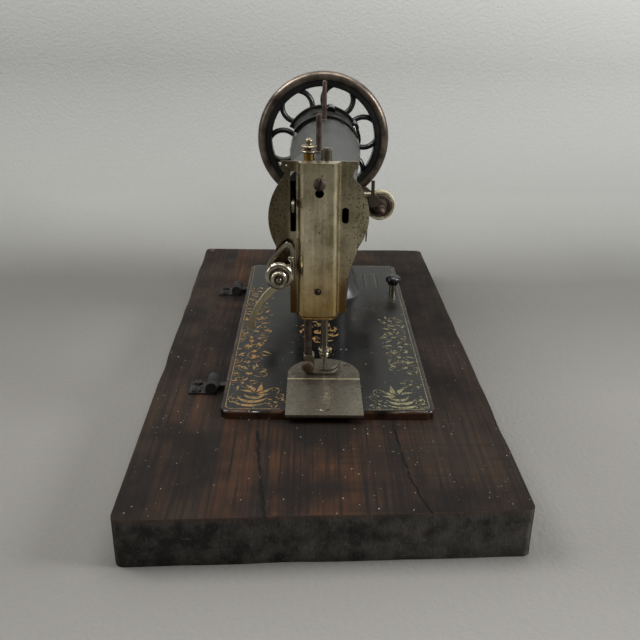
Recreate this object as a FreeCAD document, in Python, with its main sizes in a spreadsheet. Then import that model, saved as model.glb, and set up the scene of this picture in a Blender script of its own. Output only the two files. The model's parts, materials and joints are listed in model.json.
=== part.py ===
"""Lock-stitch sewing machine head, hinged at its back edge on a wooden base board.

Frame: origin at the centre of the board's underside, +X from the needle end to the handwheel,
+Y to the back, +Z up. Lengths are millimetres, angles degrees.
"""

import FreeCAD, Part
import math
import os

import Sketcher

# Driving dimensions. Places on the head are measured from the needle end of the bed (x), from the
# needle line (y, positive to the back) and from the top of the bed (z).
SIZES = {
    # base board and the well under the bed
    "board_length": 591.4,
    "board_width": 288.5,
    "board_thickness": 39.0,
    "board_drift": 9.0,
    "board_near_skew": 13.0,
    "board_far_skew": 1.3,
    "board_corner": 12.0,
    "bed_setback": 134.2,
    "needle_line_offset": 5.4,
    "well_margin": 15.0,
    "well_corner": 12.0,
    # hinges
    "hinge_x": 52.7,
    "hinge_spacing": 239.0,
    "hinge_reach": 11.2,
    "hinge_drop": 1.4,
    "knuckle_radius": 5.2,
    "knuckle_length": 7.0,
    "hinge_pin_radius": 2.0,
    "hinge_gap": 0.3,
    "hinge_plate_depth": 20.0,
    "hinge_plate_thickness": 1.6,
    "hinge_tang_lift": 1.5,
    "hinge_screw_edge": 6.3,
    "hinge_screw_radius": 2.2,
    "hinge_screw_head": 4.2,
    "hinge_screw_length": 16.0,
    "corner_screw_radius": 2.5,
    "corner_screw_inset_x": 12.0,
    "corner_screw_inset_y": 9.0,
    # bed
    "bed_length": 371.0,
    "bed_width": 178.2,
    "bed_front": 91.4,
    "bed_thickness": 7.0,
    "bed_seat_gap": 0.3,
    "bed_corner": 9.0,
    "bed_edge": 2.2,
    # plates over the hook
    "plate_centre": 0.5,
    "plate_radius": 32.0,
    "plate_joint_x": 57.7,
    "plate_round_x": 66.9,
    "plate_thickness": 2.2,
    "plate_recess": 1.4,
    "plate_gap": 0.3,
    "slide_overhang": 7.0,
    "slide_notch_x": 4.5,
    "slide_notch_radius": 5.0,
    "slide_notch_width": 1.6,
    "access_margin": 8.0,
    "access_half_width": 26.0,
    "hook_slot_half_width": 17.0,
    "hook_slot_end": 84.0,
    "plate_screw_x": 80.9,
    "plate_screw_y": 20.2,
    "plate_screw_radius": 2.0,
    "plate_screw_head": 3.2,
    "plate_screw_length": 6.5,
    # arm casting: head, arm and pillar
    "head_face_x": 51.0,
    "head_depth": 55.0,
    "head_front": 24.5,
    "head_back": 33.0,
    "head_bottom": 68.0,
    "head_low_front": 17.0,
    "head_low_back": 27.5,
    "head_wall": 4.0,
    "head_overlap": 12.0,
    "head_floor": 6.0,
    "head_round": 22.0,
    "relief_top": 179.0,
    "arm_top": 191.9,
    "arm_under": 117.0,
    "arm_neck_x": 140.0,
    "arm_neck_half": 24.0,
    "arm_neck_round": 20.0,
    "barrel_x": 296.0,
    "barrel_end_x": 352.0,
    "barrel_radius": 38.5,
    "barrel_centre": 2.0,
    "barrel_taper": 4.5,
    "arm_bore": 19.0,
    "barrel_bore": 30.0,
    "barrel_wall_x": 262.0,
    "barrel_end_wall": 14.0,
    "pillar_near_x": 252.0,
    "pillar_far_x": 356.0,
    "pillar_front": 43.0,
    "pillar_back": 39.0,
    "pillar_flare": 9.0,
    "pillar_flare_height": 26.0,
    "pillar_foot_height": 8.7,
    "pillar_foot_share": 0.6,
    "pillar_top_share": 0.7,
    "pillar_round": 24.0,
    "pillar_cavity_x": 284.0,
    "pillar_cavity_length": 46.0,
    "pillar_cavity_half": 20.0,
    "arm_bolt_radius": 4.0,
    "arm_bolt_head": 6.5,
    "arm_bolt_head_height": 4.0,
    "arm_bolt_length": 16.0,
    "arm_bolt_x": 268.0,
    "arm_bolt_spacing": 75.0,
    # face plate
    "face_thickness": 1.5,
    "face_bottom": 67.0,
    "face_top": 195.0,
    "flange_foot": 29.3,
    "flange_front_foot": 17.3,
    "flange_step_z": 92.0,
    "flange_ear": 44.0,
    "flange_ear_low_z": 99.0,
    "flange_ear_high_z": 113.0,
    "flange_waist": 40.5,
    "flange_waist_z": 125.0,
    "flange_bulge": 46.4,
    "flange_bulge_z": 155.0,
    "flange_neck": 34.3,
    "flange_neck_z": 182.0,
    "flange_cove": 33.6,
    "flange_cove_z": 185.5,
    "flange_cap": 37.4,
    "flange_cap_z": 189.5,
    "flange_front_cap": 24.6,
    "flange_front_cove": 21.0,
    "flange_front_neck": 21.2,
    "flange_front_bulge": 34.2,
    "flange_front_waist": 26.6,
    "flange_front_step": 19.5,
    "flange_front_step_z": 104.0,
    "channel_centre": 6.3,
    "channel_width": 32.2,
    "channel_depth": 10.0,
    "channel_bottom": 62.2,
    "channel_top": 193.3,
    "channel_round": 6.0,
    "face_screw_y": 5.8,
    "face_screw_z": 178.8,
    "face_screw_low_z": 89.5,
    "face_screw_head": 5.0,
    "face_screw_head_height": 3.0,
    "face_screw_radius": 2.2,
    "face_screw_length": 18.0,
    "face_boss_radius": 5.0,
    "face_boss_end": 60.0,
    "keyhole_z": 171.2,
    "keyhole_radius": 2.6,
    "wire_hole_y": 32.0,
    "wire_hole_z": 191.5,
    "slot_end_share": 0.7,
    "slot_y": 26.6,
    "slot_width": 4.7,
    "slot_low": 138.0,
    "slot_high": 187.0,
    "oval_y": 15.2,
    "oval_z": 151.5,
    "oval_width": 5.6,
    "oval_height": 13.0,
    # needle bar train
    "needle_x": 71.0,
    "needle_bar_radius": 3.2,
    "needle_bar_bottom": 18.0,
    "needle_bar_top": 201.5,
    "bushing_radius": 4.6,
    "bushing_stand": 8.5,
    "bushing_drop": 2.0,
    "running_gap": 0.05,
    "clamp_radius": 5.0,
    "clamp_bottom": 14.0,
    "clamp_height": 13.0,
    "clamp_screw_radius": 1.6,
    "clamp_screw_head": 3.0,
    "clamp_screw_z": 22.5,
    "needle_shank": 1.0,
    "needle_blade": 0.4,
    "needle_tip": 0.05,
    "needle_point_z": 12.0,
    "needle_point_length": 4.0,
    "needle_shank_z": 4.0,
    "needle_stroke": 30.0,
    "collar_z": 100.0,
    "collar_height": 10.0,
    "collar_radius": 6.0,
    "link_sink": 0.5,
    "link_thickness": 2.6,
    "link_eye": 6.0,
    "crank_pin_radius": 3.0,
    "pivot_gap": 0.3,
    # main shaft
    "shaft_z": 153.4,
    "shaft_y": 0.9,
    "shaft_radius": 6.0,
    "shaft_end_x": 398.0,
    "crank_disc_x": 84.0,
    "crank_disc_thickness": 7.0,
    "crank_disc_radius": 18.5,
    "cam_length": 11.0,
    "cam_radius": 16.0,
    "front_bushing_x": 112.0,
    "front_bushing_length": 12.0,
    "rear_bushing_radius": 9.5,
    "rear_bushing_stand": 4.0,
    "eccentric_x": 300.0,
    "eccentric_length": 6.0,
    "eccentric_radius": 16.0,
    "eccentric_throw": 8.0,
    # take-up lever
    "take_up_pivot_x": 90.0,
    "take_up_z": 161.4,
    "take_up_tip_x": 38.0,
    "take_up_thickness": 2.0,
    "take_up_eye": 4.8,
    "take_up_eye_hole": 1.4,
    "take_up_hub": 7.0,
    "take_up_pin_radius": 2.5,
    "take_up_half": 2.7,
    "follower_x": 98.0,
    "follower_radius": 2.4,
    "pivot_head": 4.5,
    "pivot_head_height": 1.5,
    # presser
    "presser_x": 72.0,
    "presser_y": 14.5,
    "presser_bar_radius": 3.4,
    "presser_bar_bottom": 5.0,
    "presser_bar_top": 186.0,
    "presser_lift": 6.0,
    "bracket_z": 97.8,
    "bracket_height": 9.0,
    "bracket_end_y": 23.0,
    "bracket_wall": 3.0,
    "foot_width": 12.0,
    "foot_rest": 1.1,
    "foot_sole": 1.8,
    "foot_toe_y": 9.0,
    "foot_tip_y": 14.0,
    "foot_toe_rise": 4.5,
    "foot_heel_y": 18.5,
    "foot_slot": 3.4,
    "foot_shank_thickness": 4.0,
    "foot_shank_width": 7.0,
    "foot_shank_top": 19.0,
    "foot_screw_z": 9.5,
    "foot_screw_head": 5.5,
    "foot_screw_head_height": 4.0,
    "foot_screw_radius": 1.8,
    "spring_wire": 0.7,
    "spring_radius": 5.0,
    "spring_pitch": 6.2,
    "pressure_screw_bottom": 176.0,
    "pressure_screw_top": 209.0,
    "pressure_screw_radius": 5.0,
    "pressure_knob_radius": 6.4,
    "pressure_disc": 2.2,
    "pressure_disc_gap": 2.5,
    "pressure_ball": 3.4,
    "pressure_neck_angle": 30.0,
    # presser lifter
    "lifter_x": 56.0,
    "lifter_thickness": 3.0,
    "lifter_y": 23.0,
    "lifter_z": 91.5,
    "lifter_eye": 6.0,
    "lifter_half_width": 2.6,
    "lifter_reach_y": 63.2,
    "lifter_reach_z": 51.0,
    "lifter_bend_y": 51.1,
    "lifter_bend_z": 78.0,
    "lifter_root_y": 34.5,
    "lifter_cam_rise": 4.1,
    "lifter_root_drop": 3.0,
    "lifter_pin_radius": 2.5,
    "lifter_boss_radius": 5.0,
    "lifter_boss_end": 66.0,
    # thread tension
    "tension_y": 37.6,
    "tension_z": 106.0,
    "tension_stud_radius": 2.0,
    "tension_stud_end": 20.5,
    "tension_drum_radius": 8.0,
    "tension_drum_x": 33.0,
    "tension_disc_radius": 11.2,
    "tension_disc_thickness": 1.0,
    "tension_disc_gap": 0.2,
    "tension_coil_radius": 3.6,
    "tension_coil_turns": 2.5,
    "tension_foot": 6.0,
    "tension_nut_x": 22.0,
    "tension_nut_radius": 6.4,
    "tension_nut_length": 5.0,
    "check_wire": 0.5,
    "check_radius": 9.0,
    "check_x": 37.0,
    "check_reach": 11.0,
    "check_eye": 1.6,
    "bracket_plate_x": 43.5,
    "bracket_plate_thickness": 1.4,
    "bracket_inner_y": 30.5,
    "bracket_low_y": 40.0,
    "bracket_outer_y": 48.0,
    "bracket_peak_y": 29.5,
    "bracket_low_drop": 6.0,
    "bracket_drop": 8.5,
    "bracket_rise": 9.0,
    "guide_y": 25.6,
    "guide_z": 130.7,
    "guide_ball": 2.7,
    # handwheel and belt guard
    "wheel_x": 388.0,
    "wheel_radius": 77.9,
    "wheel_rim": 10.5,
    "wheel_rim_width": 16.0,
    "wheel_edge": 4.0,
    "wheel_band": 6.0,
    "wheel_band_width": 12.0,
    "loop_hub_wall": 2.4,
    "loop_sink": 2.7,
    "loop_band": 4.0,
    "loop_thickness": 7.0,
    "loop_angle": 6.6,
    "wheel_hub_radius": 30.5,
    "wheel_hub_x": 363.0,
    "belt_groove": 5.0,
    "stop_screw_radius": 16.0,
    "stop_screw_length": 9.0,
    "stop_stem_radius": 3.5,
    "stop_stem_length": 10.0,
    "guard_x": 354.0,
    "guard_thickness": 7.0,
    "guard_radius": 45.5,
    "guard_band": 9.5,
    "guard_back_angle": 14.7,
    "guard_front_angle": 8.4,
    "guard_screw_radius": 3.8,
    "guard_hole": 2.2,
    "guard_screw_root": 6.0,
    "guard_screw_angle": 147.0,
    "guard_cap_angle": 100.3,
    "guard_cap_turn": 6.0,
    "guard_lug_radius": 5.0,
    "guard_lug_x": 330.0,
    # spool pins
    "rear_pin_x": 275.0,
    "rear_pin_y": 0.5,
    "front_pin_x": 100.0,
    "front_pin_y": 6.2,
    "spool_pin_radius": 2.5,
    "rear_pin_top": 232.6,
    "front_pin_top": 224.5,
    "pin_collar_radius": 4.0,
    "pin_collar_height": 4.0,
    "pin_root": 8.0,
    # bobbin winder
    "winder_pivot_y": 51.0,
    "winder_pivot_z": 91.9,
    "winder_axis_y": 71.8,
    "winder_axis_z": 73.3,
    "winder_x": 383.0,
    "winder_tyre_width": 9.0,
    "winder_tyre_radius": 18.0,
    "winder_pulley_radius": 15.0,
    "winder_arm_x": 370.0,
    "winder_arm_thickness": 5.0,
    "winder_arm_end": 7.0,
    "winder_spindle_radius": 3.0,
    "winder_spindle_end": 352.0,
    "winder_tip_radius": 3.8,
    "winder_post_radius": 4.0,
    "winder_post_x": 361.0,
    "winder_foot_x": 322.0,
    "winder_foot_length": 46.0,
    "winder_foot_height": 20.0,
    "winder_foot_y": 40.0,
    "winder_seat_length": 24.0,
    "winder_seat_depth": 10.0,
    "winder_rim_inset": 0.8,
    "winder_strap_height": 17.0,
    "winder_strap_width": 4.0,
    "winder_wire_radius": 0.8,
    "winder_wire_drop": 52.0,
    # knob and cover plate on the bed
    "knob_x": 272.2,
    "knob_y": 80.0,
    "knob_stem_radius": 3.9,
    "knob_stem_height": 11.0,
    "knob_cap_radius": 8.3,
    "knob_cap_height": 10.5,
    "knob_cap_step": 2.0,
    "knob_cap_bevel": 0.5,
    "cover_x": 291.0,
    "cover_length": 50.5,
    "cover_y": 57.6,
    "cover_width": 15.6,
    "cover_thickness": 1.6,
    "cover_corner": 4.0,
    # hook, bobbin and feed under the bed
    "hook_drop": 24.0,
    "race_radius": 19.5,
    "race_wall": 2.6,
    "race_x": 61.0,
    "race_length": 15.0,
    "race_opening": 7.0,
    "hook_radius": 16.4,
    "hook_thickness": 5.0,
    "hook_x": 69.0,
    "hook_opening": 9.0,
    "hook_rim": 4.0,
    "case_radius": 11.2,
    "case_length": 12.5,
    "case_wall": 1.0,
    "case_lead": 5.0,
    "case_rim": 2.5,
    "bobbin_clearance": 0.5,
    "bobbin_post": 2.0,
    "bobbin_radius": 9.9,
    "bobbin_length": 9.0,
    "bobbin_core": 3.5,
    "bobbin_flange": 1.0,
    "hook_shaft_radius": 4.0,
    "bearing_x": 102.0,
    "bearing_spacing": 147.0,
    "bearing_length": 10.0,
    "hook_crank_radius": 12.5,
    "pitman_width": 8.0,
    "pitman_thickness": 5.5,
    "strap_wall": 3.6,
    "strap_gap": 1.0,
    "bearing_wall": 8.0,
    "race_foot_rise": 12.0,
    "race_foot_width": 11.0,
    "race_foot_reach": 24.0,
    "feed_y": 22.0,
    "feed_rod_z": 12.5,
    "feed_rod_radius": 3.0,
    "feed_shaft_z": 34.0,
    "feed_block_x": 77.2,
    "feed_block_length": 6.0,
    "feed_rod_length": 13.0,
    "feed_tooth_width": 1.6,
    "feed_tooth_spacing": 8.4,
    "feed_tooth_length": 14.0,
    "feed_tooth_top": 0.5,
    "feed_tooth_depth": 0.8,
    "feed_base_drop": 2.0,
    "feed_opening": 2.4,
    "feed_travel": 4.0,
    "feed_arm_x": 88.0,
    "feed_arm_thickness": 5.0,
    "feed_arm_wall": 3.0,
    # bores and small holes
    "screw_slot_width": 0.9,
    "screw_slot_depth": 0.8,
    "screw_face_share": 0.8,
    "wire_hole_radius": 1.1,
}

doc = FreeCAD.newDocument("sewing_machine")
sheet = doc.addObject("Spreadsheet::Sheet", "Sizes")
for row, (alias, number) in enumerate(SIZES.items(), start=1):
    sheet.set(f"A{row}", alias)
    sheet.set(f"B{row}", str(number))
    sheet.setAlias(f"B{row}", alias)
doc.recompute()


class Size:
    """A length or angle: its value now, and the spreadsheet expression that gives it."""

    def __init__(self, value, text):
        self.value = value
        self.text = text

    def __add__(self, other):
        other = size(other)
        return Size(self.value + other.value, f"({self.text} + {other.text})")

    def __sub__(self, other):
        other = size(other)
        return Size(self.value - other.value, f"({self.text} - {other.text})")

    def __mul__(self, other):
        other = size(other)
        return Size(self.value * other.value, f"{self.text} * {other.text}")

    def __truediv__(self, other):
        other = size(other)
        return Size(self.value / other.value, f"{self.text} / {other.text}")

    def __radd__(self, other):
        return size(other) + self

    def __rsub__(self, other):
        return size(other) - self

    def __rmul__(self, other):
        return size(other) * self

    def __neg__(self):
        return Size(-self.value, f"(0 - {self.text})")


def size(value):
    """A plain number taken as a Size."""
    if isinstance(value, Size):
        return value
    return Size(float(value), str(value))


def cosine(angle):
    """The cosine of an angle in degrees."""
    angle = size(angle)
    return Size(math.cos(math.radians(angle.value)), f"cos({angle.text})")


def sine(angle):
    """The sine of an angle in degrees."""
    angle = size(angle)
    return Size(math.sin(math.radians(angle.value)), f"sin({angle.text})")


class Sheet:
    """The named sizes, as attributes."""

    def __getattr__(self, alias):
        return Size(float(SIZES[alias]), f"Sizes.{alias}")


s = Sheet()
nodes = {}

# The needle end of the bed, the needle line and the top of the bed, in the board's frame.
BED_X = s.bed_setback - s.board_length / 2
NEEDLE_Y = -s.needle_line_offset
BED_Z = s.board_thickness + s.bed_seat_gap + s.bed_thickness


def at(x, y, z):
    """A place on the head, from the bed's needle end, the needle line and the bed's top."""
    return (BED_X + x, NEEDLE_Y + y, BED_Z + z)


# ---------------------------------------------------------------- building blocks
FULL_TURN = 360
HEX_SIDES = 6
LOOPS = 6
SAME_PLACE = 1e-6
LEVEL = 0.1
START, END, CENTRE = 1, 2, 3
TURN = {
    "x": FreeCAD.Rotation(FreeCAD.Vector(0, 1, 0), 90),
    "y": FreeCAD.Rotation(FreeCAD.Vector(1, 0, 0), -90),
    "z": FreeCAD.Rotation(),
}
PLANES = {"xy": FreeCAD.Rotation(), "xz": FreeCAD.Rotation(0, 0, 90), "yz": FreeCAD.Rotation(90, 0, 90)}
ROLES = {"xy": "XY_Plane", "xz": "XZ_Plane", "yz": "YZ_Plane"}
NORMALS = {"xy": (0, 0, 1), "xz": (0, -1, 0), "yz": (1, 0, 0)}


def bind(thing, **sizes):
    """Ties each property of a feature to its size in the spreadsheet."""
    for name, value in sizes.items():
        thing.setExpression(name, size(value).text)
    return thing


def place(thing, corner, turn):
    """Turns a feature and ties its corner or centre to the spreadsheet."""
    thing.Placement = FreeCAD.Placement(FreeCAD.Vector(), turn)
    for name, value in zip("xyz", corner):
        thing.setExpression(f"Placement.Base.{name}", size(value).text)
    return thing


def box(name, corner, length, width, height):
    thing = bind(doc.addObject("Part::Box", name), Length=length, Width=width, Height=height)
    return place(thing, corner, TURN["z"])


def rod(name, start, radius, length, along="z"):
    thing = bind(doc.addObject("Part::Cylinder", name), Radius=radius, Height=length)
    return place(thing, start, TURN[along])


def cone(name, start, radius, end_radius, length, along="z"):
    thing = bind(doc.addObject("Part::Cone", name), Radius1=radius, Radius2=end_radius, Height=length)
    return place(thing, start, TURN[along])


def ball(name, centre, radius):
    return place(bind(doc.addObject("Part::Sphere", name), Radius=radius), centre, TURN["z"])


def hoop(name, centre, radius, wire, along="z"):
    thing = bind(doc.addObject("Part::Torus", name), Radius1=radius, Radius2=wire)
    return place(thing, centre, TURN[along])


def fuse(name, *parts):
    thing = doc.addObject("Part::MultiFuse", name)
    thing.Shapes = list(parts)
    thing.Refine = True
    return thing


def cut(name, base, *tools):
    thing = doc.addObject("Part::Cut", name)
    thing.Base = base
    thing.Tool = tools[0] if len(tools) == 1 else fuse(f"{name}_tools", *tools)
    return thing


def together(name, *parts):
    """Several separate solids in one node."""
    thing = doc.addObject("Part::Compound", name)
    thing.Links = list(parts)
    return thing


def node(name, thing):
    """Marks a finished piece, whose label names its file."""
    thing.Label = name
    nodes[name] = thing
    return thing


def arc(middle, end=None):
    """One arc of an outline, through a middle point to its end; no end closes the outline."""
    return {"middle": middle, "end": end}


def rounded(u_low, u_high, v_low, v_high, low_radius, high_radius=None):
    """The outline of a rectangle with rounded corners."""
    low = size(low_radius)
    high = low if high_radius is None else size(high_radius)
    diagonal = cosine(45)
    low_in = low - low * diagonal
    high_in = high - high * diagonal
    return [
        (u_low + low, v_low),
        (u_high - low, v_low),
        arc((u_high - low_in, v_low + low_in), (u_high, v_low + low)),
        (u_high, v_high - high),
        arc((u_high - high_in, v_high - high_in), (u_high - high, v_high)),
        (u_low + high, v_high),
        arc((u_low + high_in, v_high - high_in), (u_low, v_high - high)),
        (u_low, v_low + low),
        arc((u_low + low_in, v_low + low_in)),
    ]


def pin_point(sketch, geometry, position, point):
    """Ties one point of a sketch to two sizes, measured from the sketch's origin."""
    for kind, value in zip(("DistanceX", "DistanceY"), point):
        value = size(value)
        index = sketch.addConstraint(Sketcher.Constraint(kind, -1, 1, geometry, position, value.value))
        sketch.setExpression(f"Constraints[{index}]", value.text)


def vector(point):
    return FreeCAD.Vector(size(point[0]).value, size(point[1]).value, 0)


def draw(sketch, outline):
    """Draws one closed outline of straight lines and arcs, every point of it dimensioned."""
    start = outline[0]
    here = start
    first = last = None
    closed = isinstance(outline[-1], dict) and outline[-1]["end"] is None
    for step in outline[1:] + ([] if closed else [start]):
        bent = isinstance(step, dict)
        end = step if not bent else (step["end"] or start)
        if bent:
            curve = Part.Arc(vector(here), vector(step["middle"]), vector(end))
        else:
            curve = Part.LineSegment(vector(here), vector(end))
        index = sketch.addGeometry(curve, False)
        near = START if (sketch.getPoint(index, START) - vector(here)).Length < SAME_PLACE else END
        if first is None:
            first = (index, near)
            pin_point(sketch, index, near, here)
        else:
            sketch.addConstraint(Sketcher.Constraint("Coincident", last[0], last[1], index, near))
        last = (index, END if near == START else START)
        if end is start:
            sketch.addConstraint(Sketcher.Constraint("Coincident", last[0], last[1], *first))
        else:
            pin_point(sketch, index, last[1], end)
        if bent:
            guide = sketch.addGeometry(Part.Point(vector(step["middle"])), True)
            pin_point(sketch, guide, START, step["middle"])
            sketch.addConstraint(Sketcher.Constraint("PointOnObject", guide, START, index))
        here = end


def circle(sketch, centre, radius):
    """Draws one dimensioned circle."""
    radius = size(radius)
    index = sketch.addGeometry(Part.Circle(vector(centre), FreeCAD.Vector(0, 0, 1), radius.value), False)
    pin_point(sketch, index, CENTRE, centre)
    constraint = sketch.addConstraint(Sketcher.Constraint("Radius", index, radius.value))
    sketch.setExpression(f"Constraints[{constraint}]", radius.text)


def drawn(sketch, outlines):
    for outline in outlines:
        if isinstance(outline, tuple):
            circle(sketch, *outline)
        else:
            draw(sketch, outline)
    return sketch


def plate(name, plane, level, thickness, *outlines):
    """A flat piece: a sketch in a plane at a level, extruded by its thickness towards +."""
    sketch = drawn(doc.addObject("Sketcher::SketchObject", f"{name}_outline"), outlines)
    sketch.Placement = FreeCAD.Placement(FreeCAD.Vector(), PLANES[plane])
    axis = {"xy": "z", "xz": "y", "yz": "x"}[plane]
    sketch.setExpression(f"Placement.Base.{axis}", size(level).text)
    thing = bind(doc.addObject("Part::Extrusion", name), LengthFwd=thickness)
    thing.Base = sketch
    thing.DirMode = "Custom"
    thing.Dir = FreeCAD.Vector(*[abs(n) for n in NORMALS[plane]])
    thing.Solid = True
    return thing


def turned(name, centre, along, outline):
    """A turned piece: an outline of (radius, distance along the axis) revolved about the axis."""
    sketch = drawn(doc.addObject("Sketcher::SketchObject", f"{name}_profile"), [outline])
    sketch.Placement = FreeCAD.Placement(FreeCAD.Vector(), PLANES["xz"])
    spun = doc.addObject("Part::Revolution", f"{name}_turned")
    spun.Source = sketch
    spun.Axis = FreeCAD.Vector(0, 0, 1)
    spun.Angle = FULL_TURN
    spun.Solid = True
    thing = doc.addObject("Part::Compound", name)
    thing.Links = [spun]
    return place(thing, centre, TURN[along])


class Body:
    """A PartDesign body, built feature by feature."""

    def __init__(self, name):
        self.body = doc.addObject("PartDesign::Body", name)
        self.count = 0

    def sketch(self, plane, level, *outlines):
        self.count += 1
        name = f"{self.body.Name}_sketch{self.count}"
        sketch = self.body.newObject("Sketcher::SketchObject", name)
        origin = [part for part in self.body.Origin.OriginFeatures if part.Role == ROLES[plane]][0]
        sketch.AttachmentSupport = [(origin, "")]
        sketch.MapMode = "FlatFace"
        offset = -size(level) if plane == "xz" else size(level)
        sketch.setExpression("AttachmentOffset.Base.z", offset.text)
        return drawn(sketch, outlines)

    def pad(self, plane, level, thickness, *outlines):
        """Adds material from the level towards the plane's normal."""
        profile = self.sketch(plane, level, *outlines)
        pad = self.body.newObject("PartDesign::Pad", f"{profile.Name}_pad")
        pad.Profile = profile
        bind(pad, Length=thickness)
        return self

    def pocket(self, plane, level, depth, *outlines):
        """Cuts from the level against the plane's normal."""
        profile = self.sketch(plane, level, *outlines)
        doc.recompute()
        before = self.body.Shape.Volume
        pocket = self.body.newObject("PartDesign::Pocket", f"{profile.Name}_pocket")
        pocket.Profile = profile
        bind(pocket, Length=depth)
        doc.recompute()
        if self.body.Shape.Volume >= before:
            raise SystemExit(f"{pocket.Name} cut nothing")
        return self

    def loft(self, plane, *sections):
        """Adds a form that runs straight from each section to the next; a section is (level, outline)."""
        profiles = [self.sketch(plane, level, outline) for level, outline in sections]
        for near, far in zip(profiles, profiles[1:]):
            loft = self.body.newObject("PartDesign::AdditiveLoft", f"{near.Name}_loft")
            loft.Profile = near
            loft.Sections = [far]
            loft.Ruled = True
        return self

    def fillet(self, radius, wanted):
        """Rounds the edges that a test of their middle point and direction picks."""
        doc.recompute()
        base = self.body.Tip
        names = [f"Edge{index}" for index, edge in enumerate(base.Shape.Edges, start=1) if wanted(edge)]
        fillet = self.body.newObject("PartDesign::Fillet", f"{self.body.Name}_fillet{self.count}")
        fillet.Base = (base, names)
        bind(fillet, Radius=radius)
        doc.recompute()
        return self


def on_bed_top(edge):
    """Whether an edge lies level in the bed's top face."""
    middle = edge.valueAt((edge.FirstParameter + edge.LastParameter) / 2)
    slope = abs(edge.tangentAt(edge.FirstParameter).z)
    return abs(middle.z - BED_Z.value) < SAME_PLACE and slope < LEVEL


# ---------------------------------------------------------------- base board and hinges
HALF_LENGTH = s.board_length / 2
HALF_WIDTH = s.board_width / 2
HALF_DRIFT = s.board_drift / 2
HINGE_Y = s.bed_width - s.bed_front + s.hinge_reach
HINGE_Z = -s.hinge_drop
WELL_NEAR = BED_X + s.well_margin
WELL_FAR = BED_X + s.bed_length - s.well_margin
WELL_FRONT = NEEDLE_Y - s.bed_front + s.well_margin
WELL_BACK = NEEDLE_Y + s.bed_width - s.bed_front - s.well_margin
CORNER_SCREW = (
    HALF_LENGTH - s.corner_screw_inset_x,
    HALF_WIDTH + HALF_DRIFT - s.corner_screw_inset_y,
)
HINGES_X = (s.hinge_x, s.hinge_x + s.hinge_spacing)
KNUCKLES = 3
HINGE_WIDTH = s.knuckle_length * KNUCKLES + s.hinge_gap * 2
HINGE_SCREW_Y = NEEDLE_Y + HINGE_Y + s.hinge_plate_depth - s.hinge_screw_edge


def hinge_screw_places():
    """Two screws through each hinge plate, as (x, y) in the board's frame."""
    for x in HINGES_X:
        for side in (-1, 1):
            yield BED_X + x + side * s.knuckle_length, HINGE_SCREW_Y


def base_board():
    """The plank, a little out of square, with the well that the works hang in."""
    board = Body("base_board")
    far_cut = s.board_corner * cosine(45)
    outline = [
        (-HALF_LENGTH, HALF_WIDTH - HALF_DRIFT),
        (s.board_near_skew - HALF_LENGTH, -HALF_WIDTH - HALF_DRIFT),
        (HALF_LENGTH - s.board_far_skew - s.board_corner, HALF_DRIFT - HALF_WIDTH),
        arc(
            (
                HALF_LENGTH - s.board_far_skew - s.board_corner + far_cut,
                HALF_DRIFT - HALF_WIDTH + s.board_corner - far_cut,
            ),
            (HALF_LENGTH - s.board_far_skew, HALF_DRIFT - HALF_WIDTH + s.board_corner),
        ),
        (HALF_LENGTH, HALF_WIDTH + HALF_DRIFT),
    ]
    board.pad("xy", 0, s.board_thickness, outline)
    well = rounded(WELL_NEAR, WELL_FAR, WELL_FRONT, WELL_BACK, s.well_corner)
    board.pocket("xy", s.board_thickness, s.board_thickness, well)
    screws = [(place_xy, s.hinge_screw_radius) for place_xy in hinge_screw_places()]
    screws.append((CORNER_SCREW, s.corner_screw_radius))
    board.pocket("xy", s.board_thickness, s.hinge_screw_length, *screws)
    return node("base_board", board.body)


def knuckle(name, x, length, hole):
    """One hinge barrel, bored for the pin."""
    start = at(x, HINGE_Y, HINGE_Z)
    return rod(f"{name}_barrel", start, s.knuckle_radius, length, "x"), rod(
        f"{name}_bore", start, hole, length, "x"
    )


def hinge_plates():
    """The two hinge halves that are screwed to the board, each with two outer knuckles."""
    halves = []
    for number, x in enumerate(HINGES_X, start=1):
        name = f"hinge_plate{number}"
        left = x - HINGE_WIDTH / 2
        right = x + HINGE_WIDTH / 2 - s.knuckle_length
        corner = (BED_X + left, NEEDLE_Y + HINGE_Y, s.board_thickness)
        leaf = box(f"{name}_leaf", corner, HINGE_WIDTH, s.hinge_plate_depth, s.hinge_plate_thickness)
        near, near_bore = knuckle(f"{name}_near", left, s.knuckle_length, s.hinge_pin_radius)
        far, far_bore = knuckle(f"{name}_far", right, s.knuckle_length, s.hinge_pin_radius)
        middle_room = rod(
            f"{name}_room",
            at(left + s.knuckle_length, HINGE_Y, HINGE_Z),
            s.knuckle_radius + s.hinge_gap,
            s.knuckle_length + s.hinge_gap * 2,
            "x",
        )
        webs = [
            box(
                f"{name}_{side}_web",
                (BED_X + start, NEEDLE_Y + HINGE_Y, s.board_thickness),
                s.knuckle_length,
                s.knuckle_radius,
                s.bed_thickness + s.bed_seat_gap - s.hinge_drop,
            )
            for side, start in (("near", left), ("far", right))
        ]
        holes = [
            rod(
                f"{name}_screw{index}",
                (BED_X + x + side * s.knuckle_length, HINGE_SCREW_Y, s.board_thickness),
                s.hinge_screw_radius,
                s.hinge_plate_thickness,
            )
            for index, side in ((1, -1), (2, 1))
        ]
        solid = fuse(f"{name}_solid", leaf, near, far, *webs)
        halves.append(cut(name, solid, near_bore, far_bore, middle_room, *holes))
    return node("hinge_plates", together("hinge_plates_pair", *halves))


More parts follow.
